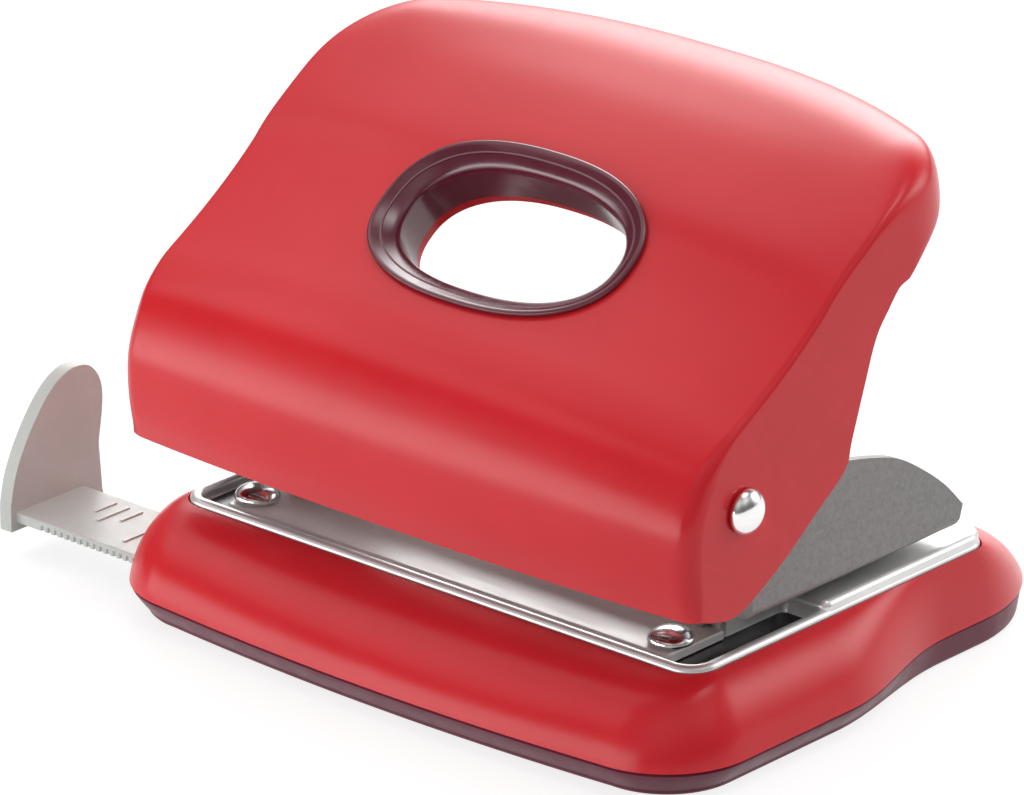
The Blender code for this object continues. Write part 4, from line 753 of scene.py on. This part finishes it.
def rounded_table_plan():
    """Plan of the raised table: a narrow part under the bracket and the full width behind it."""
    wide = TRAY_WIDTH / 2 - TABLE_INSET
    deep = TRAY_DEPTH / 2 - TABLE_INSET
    narrow, small = DIE_TABLE_WIDTH / 2, TABLE_PLAN_CORNER
    right = [(0, DIE_TABLE_START)]
    right += arc((narrow - small, DIE_TABLE_START + small), small, -90, 0, 6)
    right += arc((narrow + small, TABLE_START - small), small, 180, 90, 6)
    right += arc((wide - small, TABLE_START + small), small, -90, 0, 6)
    right += arc((wide - TRAY_CORNER, deep - TRAY_CORNER), TRAY_CORNER, 0, 90, 12)
    right += [(0, deep)]
    return right + [(-x, y) for x, y in reversed(right[1:-1])]


def make_tray():
    edge = tray_outline()
    bottom = DECK_TOP + FIT_GAP
    bead = [level(edge, bottom), level(edge, RIM_TOP - RIM_WIDTH / 2)]
    for i in range(1, 13):
        turn = math.pi * i / 12
        bead.append(level(inset(edge, RIM_WIDTH / 2 * (1 - math.cos(turn))),
                          RIM_TOP - RIM_WIDTH / 2 * (1 - math.sin(turn))))
    bead.append(level(inset(edge, RIM_WIDTH), FLOOR_TOP + RIM_FOOT_HEIGHT))
    for i in range(1, 5):
        turn = math.pi / 2 * i / 4
        bead.append(level(inset(edge, RIM_WIDTH + RIM_FOOT_WIDTH * (1 - math.cos(turn))),
                          FLOOR_TOP + RIM_FOOT_HEIGHT * (1 - math.sin(turn))))
    floor = solid_of_rings("floor", bead)
    plan = rounded_table_plan()
    low = (FLOOR_TOP + bottom) / 2
    spread = inset(plan, -TABLE_SPREAD)
    table = [level(spread, low), level(spread, FLOOR_TOP + TABLE_FOOT_LOW)]
    table += [level(plan, FLOOR_TOP + TABLE_FOOT_HIGH), level(plan, TABLE_TOP - TABLE_ROUND)]
    for i in range(1, 9):
        turn = math.pi / 2 * i / 8
        table.append(level(inset(plan, TABLE_ROUND * (1 - math.cos(turn))),
                           TABLE_TOP - TABLE_ROUND * (1 - math.sin(turn))))
    top = solid_of_rings("table", table)
    for _, sign in SIDES:
        for sheet in (floor, top):
            cut(sheet, rod("die_hole", (sign * PIN_X, PIN_ROW, bottom - OVERRUN), (0, 0, 1),
                           TABLE_TOP - bottom + 2 * OVERRUN, DIE_RING_DIAMETER / 2 + FIT_GAP))
    tray = joined("tray", floor, top)
    dress(shade(tray, 40), "base", "chrome", "chrome", "die_tray")
    # Painted shade: a thin dark sheet over the tray floor around the raised table, standing in for the
    # shade and dark reflections on the chrome floor.
    shade_well = inset(edge, RIM_WIDTH + WELL_GAP)
    shade_film = solid_of_rings("tray_painted_shade", [level(shade_well, FLOOR_TOP - WELL_SINK),
                                        level(shade_well, FLOOR_TOP + WELL_HEIGHT)])
    room = inset(plan, -WELL_SINK)
    cut(shade_film, solid_of_rings("table_hole", [level(room, low), level(room, TABLE_TOP)]))
    dress(shade(shade_film, 40), "base", "painted_shade_well", "chrome", "die_tray")


def ear_outline():
    way = EAR_TIP - PIVOT_Y
    top = [Vector((EAR_TIP - way * along, WEB_BOTTOM + EAR_NOSE_HEIGHT * up)) for along, up in EAR_TOP]
    points = [(EAR_TIP - EAR_TIP_HEIGHT / 2, WEB_BOTTOM)]
    points += [tuple(point) for point in smooth_path(top, 8)]
    points += arc((PIVOT_Y, PIVOT_Z), EAR_BOSS_RADIUS, 75, 230, 32)
    points += [(THROAT - STEEL, EAR_NECK_HEIGHT), (THROAT - STEEL, WEB_BOTTOM)]
    return points


def u_outline(outer, thickness, bottom, top, bend, steps=10):
    inner = outer - thickness
    inner_bend = bend - thickness / 2
    points = [(outer, top)]
    points += arc((outer - bend, bottom + bend), bend, 0, -90, steps)
    points += arc((-outer + bend, bottom + bend), bend, -90, -180, steps)
    points += [(-outer, top), (-inner, top)]
    low = bottom + thickness
    points += arc((-inner + inner_bend, low + inner_bend), inner_bend, 180, 270, steps)
    points += arc((inner - inner_bend, low + inner_bend), inner_bend, -90, 0, steps)
    points += [(inner, top)]
    return points


def make_bracket():
    top = PIVOT_Z + EAR_BOSS_RADIUS + OVERRUN
    channel = u_outline(EAR_OUTER, STEEL, WEB_BOTTOM, top, EAR_BEND)
    bracket = prism_y("bracket", channel, THROAT - STEEL, EAR_TIP)
    foot = FLOOR_TOP + FIT_GAP
    inner = EAR_OUTER - STEEL
    for _, sign in SIDES:
        near, far = sorted((sign * inner, sign * EAR_OUTER))
        add(bracket, box("root", (near, PIVOT_Y - 2 * EAR_BOSS_RADIUS, WEB_TOP),
                         (far, THROAT - STEEL / 2, top)))
    half_wall = FOOT_PLATE_WIDTH / 2 - 2 * STEEL
    add(bracket, box("wall", (-half_wall, THROAT - STEEL, foot), (half_wall, THROAT, WEB_TOP)))
    limits = prism_x("limits", ear_outline(), -EAR_OUTER - OVERRUN, EAR_OUTER + OVERRUN)
    add(limits, box("foot_limits", (-inner, FOOT_PLATE_END - OVERRUN, DECK_TOP),
                    (inner, THROAT + OVERRUN, WEB_TOP)))
    combine(bracket, limits, "INTERSECT")
    for _, sign in SIDES:
        cut(bracket, rod("bush_hole", (sign * PIN_X, PIN_ROW, WEB_BOTTOM - OVERRUN), (0, 0, 1),
                         STEEL + 2 * OVERRUN, PIN_DIAMETER / 2 + FIT_GAP))
    cut(bracket, rod("axle_hole", (-EAR_OUTER - OVERRUN, PIVOT_Y, PIVOT_Z), (1, 0, 0),
                     2 * (EAR_OUTER + OVERRUN), AXLE_DIAMETER / 2 + FIT_GAP))
    bevelled(bracket)
    # The bracket wears the darker, painted-shade copy of its steel.
    dress(shade(bracket, 30), "base", "grey_steel", "grey_steel", "punch_bracket")
    make_foot_plate(foot)


def make_foot_plate(foot):
    """Front flange of the bracket: a flat plate with rounded front corners and a rounded top edge."""
    half = FOOT_PLATE_WIDTH / 2
    corner = FOOT_PLATE_CORNER
    plan = arc((half - corner, FOOT_PLATE_END + corner), corner, -90, 0, 8)
    plan += [(half, THROAT), (-half, THROAT)]
    plan += arc((-half + corner, FOOT_PLATE_END + corner), corner, 180, 270, 8)
    rings = [level(plan, foot)]
    for i in range(7):
        turn = math.pi / 2 * i / 6
        rings.append(level(inset(plan, FOOT_PLATE_ROUND * (1 - math.cos(turn))),
                           foot + STEEL - FOOT_PLATE_ROUND * (1 - math.sin(turn))))
    painted_light_plate = solid_of_rings("foot_plate", rings)
    # The foot plate wears the painted-light copy of the bracket steel.
    dress(shade(painted_light_plate, 30), "base", "plate_steel_painted_light", "grey_steel", "punch_bracket")


def dome_profile(start, radius, height, steps=14):
    profile = [(start, radius * 0.9), (start + height * 0.05, radius * 0.97)]
    profile.append((start + height * 0.16, radius))
    for i in range(1, steps + 1):
        turn = math.pi / 2 * i / (steps + 0.2)
        profile.append((start + height * (0.16 + 0.84 * math.sin(turn)), radius * math.cos(turn)))
    return profile


def make_heads():
    """Domed rivets of the foot plate and domed ends of the pivot axle."""
    x = FOOT_PLATE_WIDTH / 2 - RIVET_MARGIN
    y = THROAT - RIVET_HEAD_DIAMETER - STEEL
    low = DECK_TOP + FIT_GAP
    for side, sign in SIDES:
        seat = FLOOR_TOP + FIT_GAP + STEEL + FIT_GAP - low
        profile = [(0, RIVET_DIAMETER / 2), (seat, RIVET_DIAMETER / 2)]
        profile += dome_profile(seat, RIVET_HEAD_DIAMETER / 2, RIVET_HEAD_HEIGHT)
        rivet = turned("rivet_" + side, profile, (sign * x, y, low), (0, 0, 1))
        dress(shade(rivet), "base", "head_steel", "chrome", "bracket_rivet_" + side)
        cap = turned("axle_head_" + side, dome_profile(0, CAP_DIAMETER / 2, CAP_DOME),
                     (sign * (HOOD_WIDTH / 2 + FIT_GAP), PIVOT_Y, PIVOT_Z), (sign, 0, 0))
        dress(shade(cap), "base", "head_steel", "chrome", "pivot_cap_" + side)


def hood_point(y_share, z_share):
    return Vector((HOOD_FRONT + HOOD_REACH * y_share, HOOD_LOW + HOOD_RISE * z_share))


def skin_tables(steps):
    """Skin at the side walls, and how far each of its points moves by mid-plane."""
    edge, moves = [], []
    for (y, z), crown, bow, end_bow in zip(HOOD_SKIN, HOOD_CROWNS, HOOD_BOWS, HOOD_ENDS):
        edge.append(hood_point(y, z))
        moves.append(Vector((HOOD_END_BOW * end_bow - HOOD_BOW * bow, HOOD_CROWN * crown)))
    return smooth_path(edge, steps), smooth_path(moves, steps)


SKIN_EDGE, SKIN_MOVES = skin_tables(7)


def skin_points(x):
    middle = 1 - abs(2 * x / HOOD_WIDTH) ** HOOD_MIDDLE_POWER
    return [point + move * middle for point, move in zip(SKIN_EDGE, SKIN_MOVES)]


def offset_path(points, distance):
    """Path in (y, z) moved to its right-hand side by a length or by one length for each point."""
    moved = []
    last = len(points) - 1
    for i, point in enumerate(points):
        along = (points[min(i + 1, last)] - points[max(i - 1, 0)]).normalized()
        amount = distance[i] if isinstance(distance, list) else distance
        moved.append(point + Vector((along.y, -along.x)) * amount)
    return moved


def corner_pull(x):
    corner = max(abs(x) - (HOOD_WIDTH / 2 - HOOD_CORNER), 0) / HOOD_CORNER
    return HOOD_PULL * (1 - math.sqrt(max(1 - corner ** 2, 0)))


def hood_stations(half):
    """Places along X, closer and closer together towards the side walls."""
    start = half - HOOD_CORNER
    right = [start * i / 16 for i in range(16)]
    right += [start + HOOD_CORNER * math.sin(math.pi / 2 * i / 18) for i in range(19)]
    return [-x for x in reversed(right[1:])] + right


def edge_radius(along):
    """Rounding between the skin and the side wall: full in front, tight on the slope."""
    slope = ease(along, 0.22, 0.36)
    end = ease(along, 0.72, 0.86)
    front = HOOD_EDGE_FRONT + (HOOD_EDGE_SLOPE - HOOD_EDGE_FRONT) * slope
    return front + (HOOD_EDGE_END - HOOD_EDGE_SLOPE) * end


def hood_section(x):
    skin = skin_points(x)
    last = len(skin) - 1
    draws = []
    for i in range(last + 1):
        along = i / last
        radius = edge_radius(along)
        over = max(abs(x) - (HOOD_WIDTH / 2 - radius), 0)
        weight = min(ease(along, -0.05, 0.06), 1 - ease(along, 0.92, 1.0))
        draws.append((radius - math.sqrt(max(radius ** 2 - over ** 2, 0))) * weight)
    skin = offset_path(skin, draws)
    pull = Vector((SLOPE_ALONG.y, SLOPE_ALONG.z)) * corner_pull(x)
    section = [point - pull * ease(i / last, 0.45, 0.75) for i, point in enumerate(skin)]
    under = [hood_point(y, z) - pull * max(1 - (i + 1) / PULLED_UNDER_POINTS, 0)
             for i, (y, z) in enumerate(HOOD_UNDER)]
    section += smooth_path([section[-1], *under, section[0]], 4)[1:-1]
    return [(x, point.x, point.y) for point in section]


def slope_along(point):
    return (point.x - HOLE_Y) * SLOPE_ALONG.y + (point.y - HOLE_Z) * SLOPE_ALONG.z


def resampled(path, steps):
    lengths = [0]
    for first, second in zip(path, path[1:]):
        lengths.append(lengths[-1] + (second - first).length)
    points = [path[0]]
    i = 0
    for step in range(1, steps):
        target = lengths[-1] * step / steps
        while lengths[i + 1] < target:
            i += 1
        points.append(path[i].lerp(path[i + 1], (target - lengths[i]) / (lengths[i + 1] - lengths[i])))
    return points + [path[-1]]


def cavity_section(x):
    skin = offset_path(skin_points(x), HOOD_WALL)
    middle = 1 - abs(2 * x / HOOD_WIDTH) ** HOOD_MIDDLE_POWER
    hollow_end = HOLLOW_END + HOOD_END_BOW * SLOPE_ALONG.y * middle - corner_pull(x)
    kept = []
    for first, second in zip(skin, skin[1:]):
        kept.append(first)
        here, after = slope_along(first), slope_along(second)
        if after > hollow_end:
            break
    kept.append(first.lerp(second, (hollow_end - here) / (after - here)))
    out = kept[-1] - Vector((SLOPE_UP.y, SLOPE_UP.z)) * HOOD_RISE
    under = [out, Vector((kept[0].x, HOOD_LOW - HOOD_RISE / 4))]
    return [(x, point.x, point.y) for point in resampled(kept, 40) + under]


def slope_point(x, along, up):
    return HOLE_CENTRE + Vector((x, 0, 0)) + SLOPE_ALONG * along + SLOPE_UP * up


def ring_outline(grow, count=128):
    points = []
    for i in range(count):
        turn = 2 * math.pi * i / count
        c, s = math.cos(turn), math.sin(turn)
        x = abs(c) ** (2 / HOLE_POWER) * math.copysign(HOLE_HALF_LENGTH + grow, c)
        along = abs(s) ** (2 / HOLE_POWER) * math.copysign(HOLE_HALF_HEIGHT + grow, s)
        points.append((x, along))
    return points


def slope_solid(name, outline, low, high):
    return solid_of_rings(name, [[slope_point(x, along, up) for x, along in outline] for up in (low, high)])


def skin_height(x, along):
    origin = Vector((HOLE_Y, HOLE_Z))
    flat = Vector((SLOPE_ALONG.y, SLOPE_ALONG.z))
    up = Vector((SLOPE_UP.y, SLOPE_UP.z))
    path = [((point - origin).dot(flat), (point - origin).dot(up)) for point in skin_points(x)]
    for (a0, h0), (a1, h1) in zip(path, path[1:]):
        if a0 <= along <= a1:
            return h0 + (h1 - h0) * (along - a0) / (a1 - a0)
    return 0


def liner_screw_places():
    x = HOLE_HALF_LENGTH + (HOOD_WIDTH / 2 - HOLE_HALF_LENGTH) * LINER_SCREW_SHARE
    for _, sign in SIDES:
        yield sign * x, LINER_START * LINER_SCREW_REACH
        yield sign * x, LINER_END * LINER_SCREW_REACH


def make_hood():
    half = HOOD_WIDTH / 2
    hood = split_faces(solid_of_rings("hood", [hood_section(x) for x in hood_stations(half)]))
    stations = hood_stations(half - HOOD_WALL)
    cut(hood, split_faces(solid_of_rings("cavity", [cavity_section(x) for x in stations])))
    cut(hood, slope_solid("hole", ring_outline(RING_WALL + FIT_GAP), -HOOD_RISE / 2, HOOD_RISE / 2))
    cut(hood, rod("axle_holes", (-half - OVERRUN, PIVOT_Y, PIVOT_Z), (1, 0, 0), 2 * (half + OVERRUN),
                  AXLE_DIAMETER / 2 + FIT_GAP))
    for x, along in liner_screw_places():
        low = -LINER_DEPTH + LINER_THICKNESS + FIT_GAP
        add(hood, rod("boss", slope_point(x, along, low), SLOPE_UP,
                      skin_height(x, along) - HOOD_WALL / 2 - low, BOSS_RADIUS))
    for _, sign in SIDES:
        x, z = sign * YOKE_OUTER * YOKE_SCREW_SHARE, (YOKE_LOW + PIVOT_Z) / 2
        start = HOOD_FRONT + HOOD_WALL / 2
        add(hood, rod("yoke_boss", (x, start, z), (0, 1, 0), YOKE_FRONT - FIT_GAP - start, BOSS_RADIUS))
    dress(shade(hood, 30), "lever", "red_plastic", "red_plastic", "lever_hood")


def make_hole_ring():
    """Ring in the finger hole: a rolled lip on the skin that curves down into a sleeve to the liner."""
    sleeve_low = -LINER_DEPTH + LINER_THICKNESS + FIT_GAP

    def on_skin(grow, height):
        return [slope_point(x, along, skin_height(x, along) + height) for x, along in ring_outline(grow)]

    def flat(grow, height):
        return [slope_point(x, along, height) for x, along in ring_outline(grow)]

    lip, neck = RING_LIP + RING_SPREAD, -RING_SPREAD
    funnel = [(0, 1.0), (0.03, 1.7), (0.09, 2.0), (0.17, 1.9), (0.32, 1.2), (0.50, 0.3), (0.68, -0.7),
              (0.82, -1.6), (0.91, -2.4), (0.97, -3.4), (1, -4.6)]
    profile = [(RING_WALL, FIT_GAP), (lip, FIT_GAP)]
    profile += [(lip + (neck - lip) * share, RING_PROUD * up) for share, up in funnel]
    smooth = smooth_path(profile[2:], 3)
    rings = [flat(RING_WALL, sleeve_low), on_skin(*profile[0]), on_skin(*profile[1])]
    rings += [on_skin(*point) for point in smooth]
    rings.append(flat(neck, sleeve_low))
    ring = solid_of_rings("hole_rim", rings, closed=True)
    dress(shade(ring, 50), "lever", "ring_plum", "plum_plastic", "hole_ring")


def make_liner():
    half = HOOD_WIDTH / 2 - HOOD_WALL - FIT_GAP
    outline = []
    for cx, cy, start in ((half, LINER_START, -90), (half, LINER_END, 0), (-half, LINER_END, 90),
                          (-half, LINER_START, 180)):
        corner = LINER_FRONT_CORNER if cy == LINER_START else LINER_BACK_CORNER
        inward_x = cx - math.copysign(corner, cx)
        inward_y = cy + (corner if cy == LINER_START else -corner)
        outline += arc((inward_x, inward_y), corner, start, start + 90, 12)
    liner = slope_solid("liner", outline, -LINER_DEPTH, -LINER_DEPTH + LINER_THICKNESS)
    cut(liner, slope_solid("hole", ring_outline(0), -HOOD_RISE, HOOD_RISE))
    for x, along in liner_screw_places():
        cut(liner, rod("screw_hole", slope_point(x, along, -LINER_DEPTH - OVERRUN), SLOPE_UP,
                       LINER_THICKNESS + 2 * OVERRUN, SCREW_DIAMETER / 2 + FIT_GAP))
    bevelled(liner, PART_BEVEL)
    dress(shade(liner, 30), "lever", "red_plastic", "red_plastic", "lever_liner")


def make_guide():
    """Side guide with its fin, a scale of plain marks and fine notches along its near edge."""
    low, high = GUIDE_UNDERSIDE, GUIDE_UNDERSIDE + GUIDE_THICKNESS
    near, far = GUIDE_MIDDLE - GUIDE_WIDTH / 2, GUIDE_MIDDLE + GUIDE_WIDTH / 2
    guide = box("guide", (-GUIDE_REACH - FIN_THICKNESS / 2, near, low), (GUIDE_TAIL, far, high))
    front = near - FIN_FRONT_OVERHANG
    corners = [Vector((front + FIN_WIDTH * y, GUIDE_UNDERSIDE - FIN_DROP + FIN_HEIGHT * z)) for y, z in FIN]
    outline = [corners[0], *smooth_path(corners[1:-3], 7), *corners[-2:]]
    fin = prism_x("fin", [tuple(point) for point in outline], -GUIDE_REACH - FIN_THICKNESS, -GUIDE_REACH)
    add(guide, fin)
    for i in range(NOTCH_COUNT):
        x = -GUIDE_REACH + NOTCH_START + NOTCH_PITCH * i
        notch = [(x - NOTCH_HALF_WIDTH, near - NOTCH_OVERRUN), (x + NOTCH_HALF_WIDTH, near - NOTCH_OVERRUN),
                 (x + NOTCH_HALF_WIDTH, near + NOTCH_DEPTH), (x - NOTCH_HALF_WIDTH, near + NOTCH_DEPTH)]
        cut(guide, solid_of_rings("notch", [level(notch, low - NOTCH_OVERRUN),
                                            level(notch, low + NOTCH_OVERRUN)]))
    bevelled(guide, PART_BEVEL)
    marks = []
    start = far - MARK_TO_EDGE
    for x, length in MARK_PLACES:
        marks.append(box("mark", (x - MARK_HALF_WIDTH, start - length, high - MARK_HEIGHT),
                         (x + MARK_HALF_WIDTH, start, high + MARK_HEIGHT)))
    dress(shade(joined("side_stop", guide, *marks), 30), "guide", "guide_plastic", "guide_plastic",
          "side_guide")


def make_springs():
    """Return springs of round wire."""
    radius = (SPRING_DIAMETER - SPRING_WIRE) / 2
    rise = SPRING_HIGH - SPRING_LOW - SPRING_WIRE
    for side, sign in SIDES:
        rings = []
        count = SPRING_TURNS * 40
        for i in range(count + 1):
            turn = 2 * math.pi * SPRING_TURNS * i / count
            middle = Vector((sign * PIN_X + radius * math.cos(turn), PIN_ROW + radius * math.sin(turn),
                             SPRING_LOW + SPRING_WIRE / 2 + rise * i / count))
            out = Vector((math.cos(turn), math.sin(turn), 0))
            rings.append([middle + (out * math.cos(a) + Vector((0, 0, 1)) * math.sin(a)) * SPRING_WIRE / 2
                          for a in (2 * math.pi * j / 12 for j in range(12))])
        spring = shade(solid_of_rings("spring_" + side, rings))
        dress(spring, "base", "screw_steel", "screw_steel", "return_spring_" + side)
        bake(spring)
        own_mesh(spring)


def dress_cad_nodes():
    """Materials of the CAD nodes that stay, with fine bevels on their edges."""
    kinds = [("pivot_axle", "tool_steel"), ("pivot_spacer", "plum_plastic"), ("press_rod", "tool_steel"),
             ("lever_yoke", "tool_steel"), ("punch_pin", "tool_steel"), ("guide_bush", "tool_steel"),
             ("die_ring", "tool_steel"), ("spring_washer", "tool_steel"), ("cover_hinge_pin", "tool_steel"),
             ("pin_clip", "screw_steel"), ("tray_screw", "screw_steel"), ("liner_screw", "screw_steel"),
             ("yoke_screw", "screw_steel"), ("foot_pad", "rubber")]
    for name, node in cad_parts.items():
        for start, finish in kinds:
            if name.startswith(start):
                for slot in node.material_slots:
                    slot.material = FINISHES[finish]
                step = node.modifiers.new("edges", "BEVEL")
                step.width = CAD_BEVEL
                step.segments = 2
                step.limit_method = "ANGLE"
                step.angle_limit = math.radians(BEVEL_DEGREES)


def make_camera():
    data = bpy.data.cameras.new("photo_camera")
    data.lens = CAMERA_LENS
    data.sensor_width = CAMERA_SENSOR
    data.sensor_fit = "HORIZONTAL"
    camera = bpy.data.objects.new("photo_camera", data)
    bpy.context.collection.objects.link(camera)
    camera.location = CAMERA_PLACE
    camera.rotation_euler = (math.radians(90 - CAMERA_ELEVATION), 0, math.radians(CAMERA_AZIMUTH))
    bpy.context.scene.camera = camera


def soft_box(name, direction, distance, width, height, strength):
    """Area lamp that faces the object; strength is the brightness of its face."""
    data = bpy.data.lights.new(name, "AREA")
    data.shape = "RECTANGLE"
    data.size, data.size_y = width, height
    data.energy = strength * math.pi * width * height
    lamp = bpy.data.objects.new(name, data)
    bpy.context.collection.objects.link(lamp)
    middle = Vector((0, 0, LAMP_AIM_HEIGHT))
    lamp.location = middle + Vector(direction).normalized() * distance
    lamp.rotation_euler = Vector(direction).to_track_quat("Z", "Y").to_euler()
    return lamp


def maths(tree, operation, first, second):
    """Math node over two values, each a number or an output of another node."""
    node = tree.nodes.new("ShaderNodeMath")
    node.operation = operation
    for socket, value in zip(node.inputs, (first, second)):
        if isinstance(value, (int, float)):
            socket.default_value = value
        else:
            tree.links.new(value, socket)
    return node.outputs["Value"]


def glow_lobe(tree, place, azimuth, elevation, spread, strength):
    """Soft round patch of light in one direction of the sky; its angles are in degrees."""
    flat = math.cos(math.radians(elevation))
    dot = tree.nodes.new("ShaderNodeVectorMath")
    dot.operation = "DOT_PRODUCT"
    tree.links.new(place, dot.inputs[0])
    dot.inputs[1].default_value = (flat * math.cos(math.radians(azimuth)),
                                   flat * math.sin(math.radians(azimuth)),
                                   math.sin(math.radians(elevation)))
    facing = maths(tree, "MAXIMUM", dot.outputs["Value"], 0.0)
    lobe = maths(tree, "POWER", facing, 1 / math.radians(spread) ** 2)
    return maths(tree, "MULTIPLY", lobe, strength)


def make_studio():
    """Sky of soft patches of light, a soft key lamp, and a low strip lamp on the floor in front."""
    scene = bpy.context.scene
    scene.view_settings.view_transform = "Standard"
    soft_box("key_left", (-0.62, -0.46, 0.62), 1.1, 0.80, 0.34, 0.9)
    strip = soft_box("front_strip", (-0.39, -0.92, 0), 0.30, 0.46, 0.085, 3.2)
    strip.location.z = STRIP_HEIGHT
    strip.visible_camera = False
    world = bpy.data.worlds.new("studio")
    world.use_nodes = True
    scene.world = world
    tree = world.node_tree
    place = tree.nodes.new("ShaderNodeTexCoord").outputs["Generated"]
    total = AMBIENT_LIGHT
    for azimuth, elevation, spread, strength in SKY_LOBES:
        total = maths(tree, "ADD", glow_lobe(tree, place, azimuth, elevation, spread, strength), total)
    seen = tree.nodes.new("ShaderNodeLightPath").outputs["Is Camera Ray"]
    plain = maths(tree, "MULTIPLY", maths(tree, "SUBTRACT", 1.0, seen), total)
    back = tree.nodes["Background"]
    back.inputs["Color"].default_value = (1, 1, 1, 1)
    tree.links.new(maths(tree, "ADD", plain, seen), back.inputs["Strength"])
    make_floor()


def make_floor():
    """White floor whose own glow is what the camera and reflections see; lamps add the shadow."""
    def fill(work):
        bmesh.ops.create_circle(work, cap_ends=True, segments=96, radius=FLOOR_RADIUS)
    floor = new_piece("floor", fill)
    finish = bpy.data.materials.new("studio_floor")
    finish.use_nodes = True
    tree = finish.node_tree
    tree.nodes.clear()
    output = tree.nodes.new("ShaderNodeOutputMaterial")
    paper = tree.nodes.new("ShaderNodeBsdfDiffuse")
    paper.inputs["Color"].default_value = (FLOOR_GREY, FLOOR_GREY, FLOOR_GREY, 1)
    glow = tree.nodes.new("ShaderNodeEmission")
    glow.inputs["Color"].default_value = (1, 1, 1, 1)
    path = tree.nodes.new("ShaderNodeLightPath")
    seen = path.outputs["Is Camera Ray"]
    for other in ("Is Glossy Ray", "Is Transmission Ray"):
        seen = maths(tree, "MAXIMUM", seen, path.outputs[other])
    strength = tree.nodes.new("ShaderNodeMapRange")
    for socket, value in (("To Min", FLOOR_GLOW_UNSEEN), ("To Max", FLOOR_GLOW_SEEN)):
        strength.inputs[socket].default_value = value
    tree.links.new(seen, strength.inputs["Value"])
    tree.links.new(strength.outputs["Result"], glow.inputs["Strength"])
    both = tree.nodes.new("ShaderNodeAddShader")
    tree.links.new(paper.outputs["BSDF"], both.inputs[0])
    tree.links.new(glow.outputs["Emission"], both.inputs[1])
    see_through = tree.nodes.new("ShaderNodeBsdfTransparent")
    sides = tree.nodes.new("ShaderNodeMixShader")
    tree.links.new(tree.nodes.new("ShaderNodeNewGeometry").outputs["Backfacing"], sides.inputs["Fac"])
    tree.links.new(both.outputs["Shader"], sides.inputs[1])
    tree.links.new(see_through.outputs["BSDF"], sides.inputs[2])
    tree.links.new(sides.outputs["Shader"], output.inputs["Surface"])
    floor.data.materials.append(finish)


FINISHES = finishes()
make_camera()
make_studio()
make_casing()
make_cover()
make_tray()
make_bracket()
make_heads()
make_hood()
make_hole_ring()
make_liner()
make_guide()
make_springs()
dress_cad_nodes()
